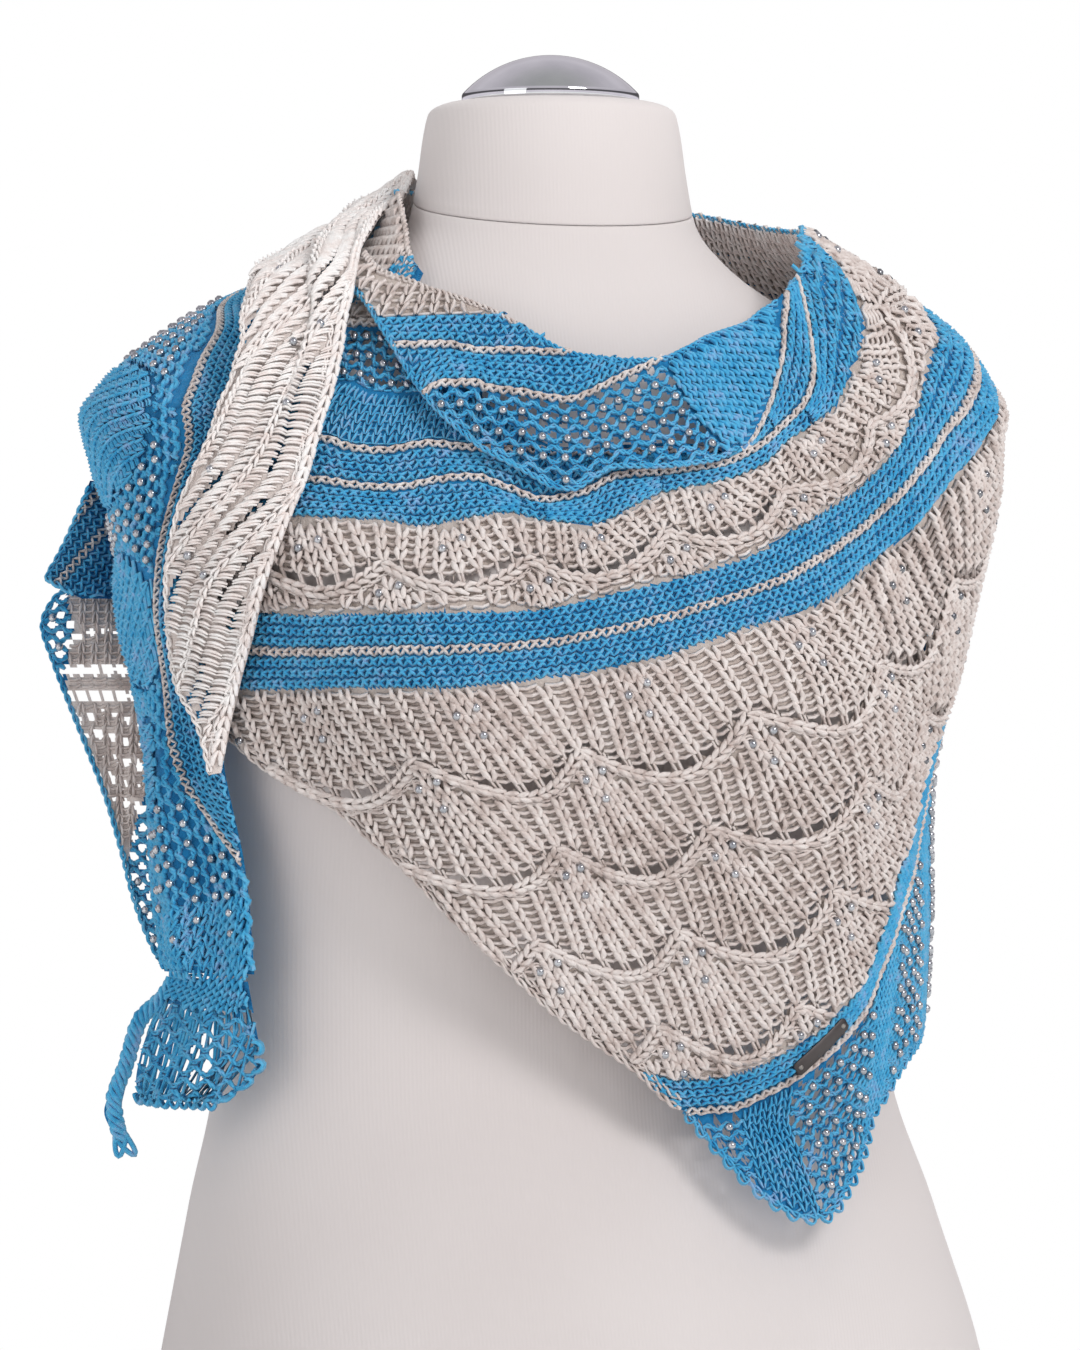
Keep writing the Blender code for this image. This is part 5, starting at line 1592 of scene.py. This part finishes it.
def build_tail():
    cream, pearls = bag("yarn_tail_cream"), bag("beads_tail")
    f = uv_field(TAIL_S, lambda u, v: v < TAIL_REACH(u), near=TAIL_NEAR)
    # wrong side of the lace: stacks of short bars that run down the strip,
    # with eyelets between them
    along = Field(TAIL_S, lambda x, y: f.to_surface(y, x), f.inside)
    inner = lambda y: TAIL_NEAR(np.interp(y, f.s, f.u)) * f.width(y)
    holes = []
    for k, gap in enumerate(stacks(along, cream, -190, 100, 3.0, f.long, pitch=9.4, step=3.55, lean=0.33, wave=5.5, thick=0.92, rise=1.9)):
        y = gap[:, 1]
        if k % 3 == 1:
            vees(along, cream, [gap], link=4.6, thick=1.0, width=1.7, height=2.6)
            continue
        deep = gap[:, 0] - inner(y)
        cell = np.floor(y / 24.0 + 0.5 * (k % 2)).astype(int)
        use = (deep > 9) & (deep < 24) & (cell % 3 > 0) | (deep > 34) & (cell % 2 == 0) & (k % 2 == 0)
        holes += gap[use].tolist()
    HOLES.append((along, np.array(holes)))
    xs = np.arange(1.0, f.long, 1.5)
    edge = inner(xs)
    free = Field(TAIL_S, f.to_surface, lambda u, v: (u > 0.003) & (u < 0.997))
    vees(free, cream, [np.stack([xs, edge + 2.6], 1)], link=5.2, thick=1.25, width=2.2, height=1.9, sides=4)
    rope(free, cream, np.stack([xs, edge + 6.2], 1), core=0.6, thick=0.8, height=0.7, twist=6.0, step=1.6)
    rope(free, cream, np.stack([xs, f.width(xs) * TAIL_REACH(np.interp(xs, f.s, f.u)) - 1.2], 1), core=0.8, thick=0.95, height=0.8,
         twist=6.0, step=1.6)
    spots = [(0.425, 0.525), (0.417, 0.20), (0.596, 0.767), (0.70, 0.767), (0.725, 0.567), (0.20, 0.30), (0.30, 0.62), (0.52, 0.35)]
    x = np.interp([s[0] for s in spots], f.u, f.s)
    beads(f, pearls, x, np.array([s[1] for s in spots]) * f.width(x))


def hanging_field(surface, table, inside=None, flip=1.0):
    """x to the viewer's right and y = height, both in mm."""
    rows = np.linspace(0, 1, len(table))
    u = np.linspace(0, 1, 400)
    z = smooth(rows, column(table, 0), u)
    lx, rx = smooth(rows, column(table, 1), u), smooth(rows, column(table, 3), u)

    def to_surface(x, y):
        uq = np.interp(-y, -z, u)
        left, right = np.interp(uq, u, lx), np.interp(uq, u, rx)
        return uq, (x - left) / (right - left)

    box = lambda a, b: (a > 0.004) & (a < 0.996) & (b > 0.02) & (b < 0.98)
    test = box if inside is None else (lambda a, b: box(a, b) & inside(a, b))
    made = Field(surface, to_surface, test, flip)
    made.left = lambda y: np.interp(np.interp(-y, -z, u), u, lx)
    made.right = lambda y: np.interp(np.interp(-y, -z, u), u, rx)
    made.top, made.bottom = z[0], z[-1]
    return made


def slanted_garter(field, bag_of, start, run, pitch, count, long, thick=0.85, width=4.3):
    """Straight garter ridges: start point, direction run, stacked sideways."""
    run = np.array(run, float) / math.hypot(*run)
    side = np.array([-run[1], run[0]])
    s = np.arange(0, long, width / 4)
    for k in range(count):
        for part in (0, 1):
            sign = 1 if part else -1
            a = 2 * math.pi * s / width + math.pi * (part + k)
            off = k * pitch + 0.95 * sign + 1.05 * np.cos(a)
            x = start[0] + run[0] * s + side[0] * off
            y = start[1] + run[1] * s + side[1] * off
            ok = field.ok(x, y)
            runs = np.flatnonzero(np.diff(np.concatenate([[0], ok.astype(int), [0]]))).reshape(-1, 2)
            for i, j in runs:
                if j - i > 4:
                    p, n = field.lay(x[i:j][None], y[i:j][None], (1.0 + 0.7 * -sign * np.cos(a[i:j]))[None])
                    bag_of(k).add(tubes(p, n, thick))


SIDE_NET, END_NET, SIDE_EYES = [], [], []


def back_blue(u, v):
    """Where the open end behind is blue: its corner and its lower part."""
    return (u > 0.50 + 0.24 * (1 - v)) | (v < 0.32 - 1.6 * np.abs(u - 0.2)) | (u < 0.05)


def below_end(u, v):
    """The flared end, carried straight down past its hem for the loops."""
    p = END_S.point(np.minimum(u, 1.0), v).copy()
    p[..., 2] -= 53.0 * MM * np.clip(u - 1.0, 0, None)
    return p


def join_point(a, b):
    """Cloth across the seam above the flared end, a from 0 (above) to 2."""
    top = SHOULDER_S.point(0.91 + 0.09 * np.clip(a, 0, 1), b)
    low = END_S.point(0.42 * np.clip(a - 1, 0, 1), 1 - b)
    w = np.clip((a - 0.8) / 0.4, 0, 1)
    w = (w * w * (3 - 2 * w))[..., None]
    return top * (1 - w) + low * w


def build_hanging():
    blue, beige = bag("yarn_side_blue"), bag("yarn_side_beige")
    f = hanging_field(FLAP_S, SIDE_FLAP)
    slanted_garter(f, lambda k: beige if k in (5, 8) else blue, (-196.0 - 3.4 * 6, 486.0 + 2.7 * 6), (-0.62, -0.78), 4.4, 18, 110)
    ys = np.arange(430, 481, 1.0)
    rope(f, blue, np.stack([f.left(ys) + 1.0, ys], 1), core=0.8, thick=0.9, height=0.3)
    # open end behind: wide net with large holes, beige above and blue below
    g = hanging_field(BACKEND_S, BACK_END)
    eyes = [(x, z, 2.5) for z in (395.5, 384.0) for x in np.arange(-238, -186, 5.9)]
    eyes += [(x + 3 + 1.2 * math.sin(x + z), z + 2.6 * math.sin(x / 7.0), 1.5 + 0.5 * math.sin(3 * x + z))
             for z in (411.0, 373.0, 363.5, 354.0, 344.5, 335.0) for x in np.arange(-238, -178, 5.9)]
    eye_u, eye_v = g.to_surface(np.array([e[0] for e in eyes]), np.array([e[1] for e in eyes]))
    eye_r = np.array([e[2] for e in eyes])

    def in_eye(u, v, more=0.0):
        d = np.hypot((np.asarray(u)[..., None] - eye_u) * 185.0, (np.asarray(v)[..., None] - eye_v) * 42.0)
        return (d < eye_r + more).any(-1)

    up = hanging_field(BACKEND_S, BACK_END, lambda u, v: ~back_blue(u, v) & ~in_eye(u, v))
    down = hanging_field(BACKEND_S, BACK_END, back_blue)
    stocking(up, beige, -247.0 + 2.95, -160, 440, 262, pitch=5.9, link=4.6, thick=0.95, width=1.5, ladders=None)
    yy = np.arange(264, 438, 3.1)
    for x in np.arange(-247.0, -160, 5.9):
        bars(up, beige, np.stack([0 * yy + x - 2.6, yy], 1), np.stack([0 * yy + x + 2.6, yy + 0.8], 1), thick=0.95, height=0.4, sag=0.6)
    SIDE_EYES.append(in_eye)
    SIDE_NET.append((down, np.array(net(down, blue, -240, -160, 260, 440, wide=7.6, row=4.4, swing=1.2, thick=0.95, core=0.6,
                                        beaded=bag("beads_side"), every=3))))
    ys = np.arange(264, 437, 1.2)
    free = Field(BACKEND_S, g.to_surface, None)
    rope(free, blue, np.stack([g.left(ys) + 0.4, ys], 1)[::-1], core=0.8, thick=0.95, height=0.2)
    rope(free, beige, np.stack([g.right(ys) - 0.6, ys], 1)[::-1], core=0.6, thick=0.8, height=0.2)
    # flared end of the tail: open net, looped hem
    e = hanging_field(END_S, TAIL_END)
    end_blue = bag("yarn_tail_blue")
    END_NET.append((e, np.array(net(e, end_blue, -200, -110, 205, 246, wide=9.4, row=5.4, swing=1.7, thick=0.95, core=0.7))))
    v = np.linspace(0.0, 1.0, 60)
    free = Field(END_S, lambda x, y: (y, x / 75.0), None)
    rope(free, end_blue, np.stack([v * 75.0, 0 * v + 0.985], 1), core=0.8, thick=0.95, height=0.2)
    # leaning ribs that run on over the seam above the flared end
    seam = Surface(join_point, 0.01, 0.02, (1.0, 0.5), VIEW)
    over = Field(seam, lambda x, y: (-y / 30.0, x / 72.0), lambda u, v: (u > 0.02) & (u < 1.75 - 0.5 * np.abs(v - 0.45)) & (v > 0.02) & (v < 0.98))
    stocking(over, end_blue, -40.0, 80.0, -60.0, 0.0, pitch=6.4, link=4.6, thick=1.15, width=2.0, lean=-0.5, ladders=3.4, height=1.9)
    hem = Field(Surface(below_end, 0.01, 0.02, (0.5, 0.5), VIEW), lambda x, y: (1.0 + y / 53.0, x / 75.0), None)
    xs = np.arange(75.0, -0.5, -0.6)
    rope(hem, end_blue, np.stack([xs, 0 * xs - 1.0], 1), core=0.8, thick=1.0, height=0.2)
    picots(hem, end_blue, np.stack([xs, 0 * xs - 0.6], 1), every=8.4, size=3.7, thick=1.5)
    beside = Field(END_S, lambda x, y: (x / 53.0, 1.0 + y / 60.0), None)
    xs = np.arange(52.0, 24.0, -0.6)
    picots(beside, end_blue, np.stack([xs, 0 * xs - 2.0], 1), every=7.4, size=2.3, thick=1.7)
    # cord of three plies from the corner of the flared end to the free tip
    knots = np.concatenate([END_S.point(np.array([0.03, 0.16]), np.array([0.06, 0.01])),
                            TIP_S.point(np.array([0.16, 0.4, 0.6, 0.8, 0.93]), np.full(5, 0.5))])
    d = np.concatenate([[0], np.cumsum(np.linalg.norm(np.diff(knots, axis=0), axis=1))]) / MM
    s = np.arange(0, d[-1], 1.2)
    p = np.stack([smooth(d, knots[:, i], s) for i in range(3)], 1)
    t = np.gradient(p, axis=0)
    t /= np.linalg.norm(t, axis=1, keepdims=True)
    side = np.cross(t, VIEW)
    side /= np.linalg.norm(side, axis=1, keepdims=True)
    for part in range(4):
        a = 2 * math.pi * s / 15.0 + 0.5 * math.pi * part
        q = p + (side * (2.5 * np.cos(a))[:, None] + VIEW * (1.5 + 1.3 * np.sin(a))[:, None]) * MM
        end_blue.add(tubes(q[None], np.broadcast_to(VIEW, q.shape)[None], 1.35 + 0.2 * np.sin(s), 4))
    for turn, long in ((0.5, 9.0), (-0.25, 10.5)):        # two free loops at the tip
        a = np.linspace(0, math.pi, 9)
        way = t[-1] * math.cos(turn) + side[-1] * math.sin(turn)
        across = np.cross(way, VIEW)
        for part in (-0.6, 0.6):
            loop = p[-1] - t[-1] * 2 * MM + (way * (long * np.sin(a))[:, None] + across * (2.3 * np.cos(a))[:, None]
                                             + VIEW * (1.5 + part)) * MM
            end_blue.add(tubes(loop[None], np.broadcast_to(VIEW, loop.shape)[None], 1.15, 4))


def hole_mask(surface, items, size):
    """True where a face of the shell falls in an eyelet."""
    spots = [f.lay(p[:, 0], p[:, 1], 0.0 * p[:, 0])[0] for f, p in items if len(p)]
    spots = np.concatenate(spots)
    tree = KDTree(len(spots))
    for i, s in enumerate(spots):
        tree.insert(s, i)
    tree.balance()

    def test(a, b):
        p, _ = surface.at(a, b)
        return np.array([tree.find(q)[2] < size * MM for q in p])

    return test


def build_shells():
    made = {}
    eyelets = hole_mask(WRAP, HOLES[:3], 2.9)
    meshes = hole_mask(WRAP, NETS, 1.9)

    def pattern_and_painted_light_wrap(b, z):
        blue = (z > stripe_bottom(b)) & (z < stripe_top(b)) & (b < 96) | (z > lace_top(b)) & (b < 96) | (z < band_top(b))
        blue &= ~((b < -8) & (z > thin1(b) + 50))
        blue &= ~((b > 284) & (z > 584))
        blue |= (b >= 96) & (b < 284) & (z > stripe_bottom(b)) & (z < stripe_top(b)) & (z < wrap_high(b) - 30)
        blue |= (b > 308.5) & (z < 586)
        # index 2, the cream ground above the stripe at the back, is painted light: lighter than the beige cloth
        # there, so the shaded inside of the collar reads light
        return np.where(blue, 0, np.where((b > 84) & (b < 284) & (z > stripe_top(b) + 4), 2, 1))

    def open_wrap(b, z):
        return eyelets(b, z) | meshes(b, z)

    made["scarf_front"] = shell(
        "cloth_front", WRAP, np.arange(-58, 95.16, 0.7).tolist() + [95.15],
        (lambda a, v: front_low(a) + 0.8 + v * (wrap_high(a) - 1.2 - front_low(a)), 150),
        pattern_and_painted_light_wrap, [BLUE_SHADED_GROUND, BEIGE_SHADED_GROUND, CREAM_SHADE_AND_LIGHT_GROUND], open_wrap, ("scarf_front",))
    made["scarf_back"] = shell(
        "cloth_back", WRAP, np.linspace(95.15, 318.9, 260),
        (lambda a, v: back_low(a) + 0.8 + v * (back_high(a) - 1.4 - back_low(a)), 80),
        pattern_and_painted_light_wrap, [BLUE_SHADED_GROUND, BEIGE_SHADED_GROUND, CREAM_SHADE_AND_LIGHT_GROUND], open_wrap, ("scarf_back",))
    made["scarf_cowl"] = shell(
        "cloth_cowl", COWL, np.arange(-61, 65.01, 0.6),
        (lambda a, v: cowl_low(a) + 0.6 + v * (cowl_high(a) - 1.2 - cowl_low(a)), 44),
        lambda b, z: np.where((z > 550) & (b < -12), 1, 0), [BLUE_SHADED_GROUND, BEIGE_SHADED_GROUND],
        hole_mask(COWL, COWL_NET, 2.1), ("scarf_cowl",))
    made["scarf_shoulder"] = shell(
        "cloth_shoulder", SHOULDER_S, np.linspace(0, 1, 170), (lambda a, v: 0.01 + 0.98 * v, 64),
        lambda u, v: 0 * u, [BLUE_SHADED_GROUND, BEIGE_SHADED_GROUND], None, ("scarf_shoulder",))
    made["scarf_tail"] = shell(
        "cloth_tail", TAIL_S, np.linspace(0, 1, 190), (lambda a, v: TAIL_NEAR(a) + (TAIL_REACH(a) - TAIL_NEAR(a)) * v, 34),
        lambda u, v: 0 * u, [CREAM_SHADE_AND_LIGHT_GROUND], hole_mask(TAIL_S, HOLES[3:4], 2.1), ("scarf_tail",))
    made["scarf_side_flap"] = shell(
        "cloth_side_flap", FLAP_S, np.linspace(0, 1, 30), (lambda a, v: 0.02 + 0.96 * v, 16),
        lambda u, v: 0 * u, [BLUE_SHADED_GROUND], None, ("scarf_side_flap",))
    side_mesh = hole_mask(BACKEND_S, SIDE_NET, 2.1)
    # the cream ground on the beige part of the open end is painted light, lighter than its beige yarn where the end
    # hangs in shade
    made["scarf_back_end"] = shell(
        "cloth_back_end", BACKEND_S, np.linspace(0, 1, 120), (lambda a, v: 0.02 + 0.96 * v, 26),
        lambda u, v: np.where(back_blue(u, v), 0, 1), [BLUE_SHADED_GROUND, CREAM_SHADE_AND_LIGHT_GROUND],
        lambda u, v: side_mesh(u, v) | SIDE_EYES[0](u, v, 0.2), ("scarf_back_end",))
    made["scarf_tail_end"] = shell(
        "cloth_tail_end", END_S, np.linspace(0, 1, 46), (lambda a, v: 0.01 + 0.98 * v, 50),
        lambda u, v: 0 * u, [BLUE_SHADED_GROUND], hole_mask(END_S, END_NET, 3.35), ("scarf_tail_end",))
    made["scarf_tail_tip"] = shell(
        "cloth_tail_tip", TIP_S, np.linspace(0.1, 0.95, 40), (lambda a, v: 0.24 + 0.52 * v, 5),
        lambda u, v: 0 * u, [BLUE_SHADED_GROUND], None, ("scarf_tail_tip",))
    return made


def build_tag():
    """Dark blank plate, rounded and riveted, on the blue band."""
    n = 26
    t = np.linspace(0, 1, n)
    b = TAG["bearing"][0] + t * (TAG["bearing"][1] - TAG["bearing"][0])
    z = TAG["z"][0] + t * (TAG["z"][1] - TAG["z"][0])
    centre = place(b, cloth_radius(b, z) + TAG["over"], z)
    theta = np.radians(b) + SHAWL_TURN
    out = np.stack([np.sin(theta), -np.cos(theta), 0 * theta], 1)
    run = centre[-1] - centre[0]
    run /= np.linalg.norm(run)
    side = np.cross(out, run)
    side /= np.linalg.norm(side, axis=1, keepdims=True)
    half, thick = TAG["width"] / 2, TAG["thick"] / 2
    d = np.minimum(t, 1 - t) * np.linalg.norm(centre[-1] - centre[0]) / MM
    round_off = np.sqrt(np.clip(1 - (1 - np.clip(d / 1.2, 0, 1)) ** 2, 0.02, 1))
    outline = [(-1, -0.6), (-0.94, -1), (0.94, -1), (1, -0.6), (1, 0.6), (0.94, 1), (-0.94, 1), (-1, 0.6)]
    rings = []
    for k in range(n):
        h = half - 1.2 * (1 - round_off[k])
        rings.append(np.array([centre[k] + side[k] * (h * x * MM) + out[k] * (thick * y * MM) for x, y in outline]))
    plate = ring_mesh("tag_plate_blank", rings, PLATE, True, True)
    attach(plate, "root")
    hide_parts("tag_plate")
    v, q = [], []
    for k in (2, n - 3):
        top = centre[k] + out[k] * (thick * MM)
        rows = []
        for r, h in ((1.15, -0.1), (1.1, 0.25), (0.8, 0.5), (0.3, 0.6)):
            a = np.linspace(0, 2 * math.pi, 16, endpoint=False)
            rows.append(top + out[k] * (h * MM) + (side[k][None] * np.cos(a)[:, None] + run[None] * np.sin(a)[:, None]) * r * MM)
        made = ring_mesh(f"tag_rivet_{'low' if k == 2 else 'high'}", rows, RIVET, False, True)
        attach(made, "root")


# --------------------------------------------------------- scene round about
def build_stage():
    scene = bpy.context.scene
    turn = SHAWL_TURN
    right = np.array([math.cos(turn), math.sin(turn), 0.0])
    back = np.array([math.sin(turn), -math.cos(turn), 0.0])
    middle = right * -0.0054 + np.array([0, 0, 0.3933])
    where = middle + back * 2.6
    camera = bpy.data.cameras.new("camera")
    camera.sensor_width = 36.0
    camera.sensor_fit = "VERTICAL"
    camera.sensor_height = 36.0
    camera.lens = 36.0 * 2.6 / (1350 * 0.00045)
    held = bpy.data.objects.new("camera", camera)
    scene.collection.objects.link(held)
    m = Matrix.Identity(4)
    for i, axis in enumerate((right, np.array([0, 0, 1.0]), back)):
        for j in range(3):
            m[j][i] = float(axis[j])
    for j in range(3):
        m[j][3] = float(where[j])
    held.matrix_world = m
    scene.camera = held

    # floor: pale near the stand, fading to the white of the room
    n = 72
    a = np.linspace(0, 2 * math.pi, n, endpoint=False)
    rings = [np.stack([r * np.cos(a), r * np.sin(a), np.full(n, -0.0005)], 1) for r in (0.002, 0.3, 0.6, 1.2, 3, 9)]
    floor_m, tree, shader = new_material("floor_pale")
    nodes, links = tree.nodes, tree.links
    coord = nodes.new("ShaderNodeTexCoord")
    length = nodes.new("ShaderNodeVectorMath")
    length.operation = "LENGTH"
    fade = nodes.new("ShaderNodeMapRange")
    fade.inputs["From Min"].default_value = 0.35
    fade.inputs["From Max"].default_value = 0.72
    glow = nodes.new("ShaderNodeEmission")
    mix = nodes.new("ShaderNodeMixShader")
    links.new(coord.outputs["Object"], length.inputs[0])
    links.new(length.outputs["Value"], fade.inputs["Value"])
    links.new(fade.outputs["Result"], mix.inputs["Fac"])
    links.new(shader.outputs[0], mix.inputs[1])
    links.new(glow.outputs[0], mix.inputs[2])
    links.new(mix.outputs[0], nodes["Material Output"].inputs["Surface"])
    shader.inputs["Base Color"].default_value = (0.86, 0.86, 0.86, 1)
    shader.inputs["Roughness"].default_value = 0.7
    floor = ring_mesh("floor", rings, floor_m)
    floor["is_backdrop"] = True

    # room: white to the eye, soft grey-white as light, banded for reflections
    world = bpy.data.worlds.new("studio")
    scene.world = world
    world.use_nodes = True
    nodes, links = world.node_tree.nodes, world.node_tree.links
    nodes.clear()
    out = nodes.new("ShaderNodeOutputWorld")
    seen, soft, shine = (nodes.new("ShaderNodeBackground") for _ in range(3))
    seen.inputs[0].default_value = (1, 1, 1, 1)
    soft.inputs[0].default_value = (0.96, 0.98, 1.0, 1)
    soft.inputs[1].default_value = 0.52
    ray = nodes.new("ShaderNodeLightPath")
    coord = nodes.new("ShaderNodeTexCoord")
    split = nodes.new("ShaderNodeSeparateXYZ")
    ramp = nodes.new("ShaderNodeValToRGB")
    span = nodes.new("ShaderNodeMapRange")
    span.inputs["From Min"].default_value = -1.0
    links.new(coord.outputs["Generated"], split.inputs[0])
    links.new(split.outputs["Z"], span.inputs["Value"])
    links.new(span.outputs["Result"], ramp.inputs["Fac"])
    stops = [(0.0, 0.70), (0.44, 0.80), (0.536, 0.92), (0.549, 0.10), (0.606, 0.13), (0.630, 0.68), (0.70, 0.62),
             (0.80, 0.72), (0.90, 0.62), (1.0, 0.44)]
    ramp.color_ramp.elements[0].position = stops[0][0]
    ramp.color_ramp.elements[0].color = (stops[0][1], stops[0][1], stops[0][1], 1)
    ramp.color_ramp.elements[1].position = stops[-1][0]
    ramp.color_ramp.elements[1].color = (stops[-1][1],) * 3 + (1,)
    for pos, v in stops[1:-1]:
        e = ramp.color_ramp.elements.new(pos)
        e.color = (v, v * 0.94, v * 1.02, 1)
    links.new(ramp.outputs["Color"], shine.inputs[0])
    shine.inputs[1].default_value = 0.9
    first, second = nodes.new("ShaderNodeMixShader"), nodes.new("ShaderNodeMixShader")
    links.new(ray.outputs["Is Glossy Ray"], first.inputs["Fac"])
    links.new(soft.outputs[0], first.inputs[1])
    links.new(shine.outputs[0], first.inputs[2])
    links.new(ray.outputs["Is Camera Ray"], second.inputs["Fac"])
    links.new(first.outputs[0], second.inputs[1])
    links.new(seen.outputs[0], second.inputs[2])
    links.new(second.outputs[0], out.inputs["Surface"])
    scene.view_settings.view_transform = "Standard"
    scene.view_settings.look = "None"

    def softbox(name, spot, size, power, colour=(1, 1, 1)):
        light = bpy.data.lights.new(name, "AREA")
        light.shape = "RECTANGLE"
        light.size, light.size_y = size
        light.energy = power
        light.color = colour
        held = bpy.data.objects.new(name, light)
        scene.collection.objects.link(held)
        place_at = Vector([float(c) for c in (right * spot[0] + back * spot[1])]) + Vector((0, 0, spot[2]))
        held.location = place_at
        held.rotation_euler = (Vector((0, 0, 0.42)) - place_at).to_track_quat("-Z", "Y").to_euler()
        held.visible_glossy = name != "top"

    softbox("key", (1.2, 1.6, 1.5), (0.8, 0.8), 23.0)
    softbox("fill", (-1.6, 1.5, 0.8), (1.2, 1.4), 5.0)
    softbox("top", (0.2, -0.3, 2.0), (1.2, 1.2), 6.0)


def main():
    build_stage()
    build_form()
    build_wrap()
    build_edges()
    build_inside()
    build_cowl()
    build_shoulder()
    build_tail()
    build_hanging()
    shells = build_shells()
    for node in ("scarf_front", "scarf_back_end", "scarf_tail_end"):
        shells[node][0].visible_shadow = False            # light falls through the openings of the knit
    build_tag()
    looks = {"blue": BLUE, "beige": BEIGE, "cream": CREAM}
    total = 0
    pieces = {}
    for name, b in BAGS.items():
        if not b.parts:
            continue
        m = BEAD if name.startswith("beads") else looks[name.rsplit("_", 1)[1]]
        pieces[name] = piece_from(name, b, m)
        total += b.triangles()
        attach(pieces[name], "root")
    print("strand triangles", total)
    return shells, pieces


SHELLS, PIECES = main()

SIZE_AFTER = [list(corner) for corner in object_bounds()]
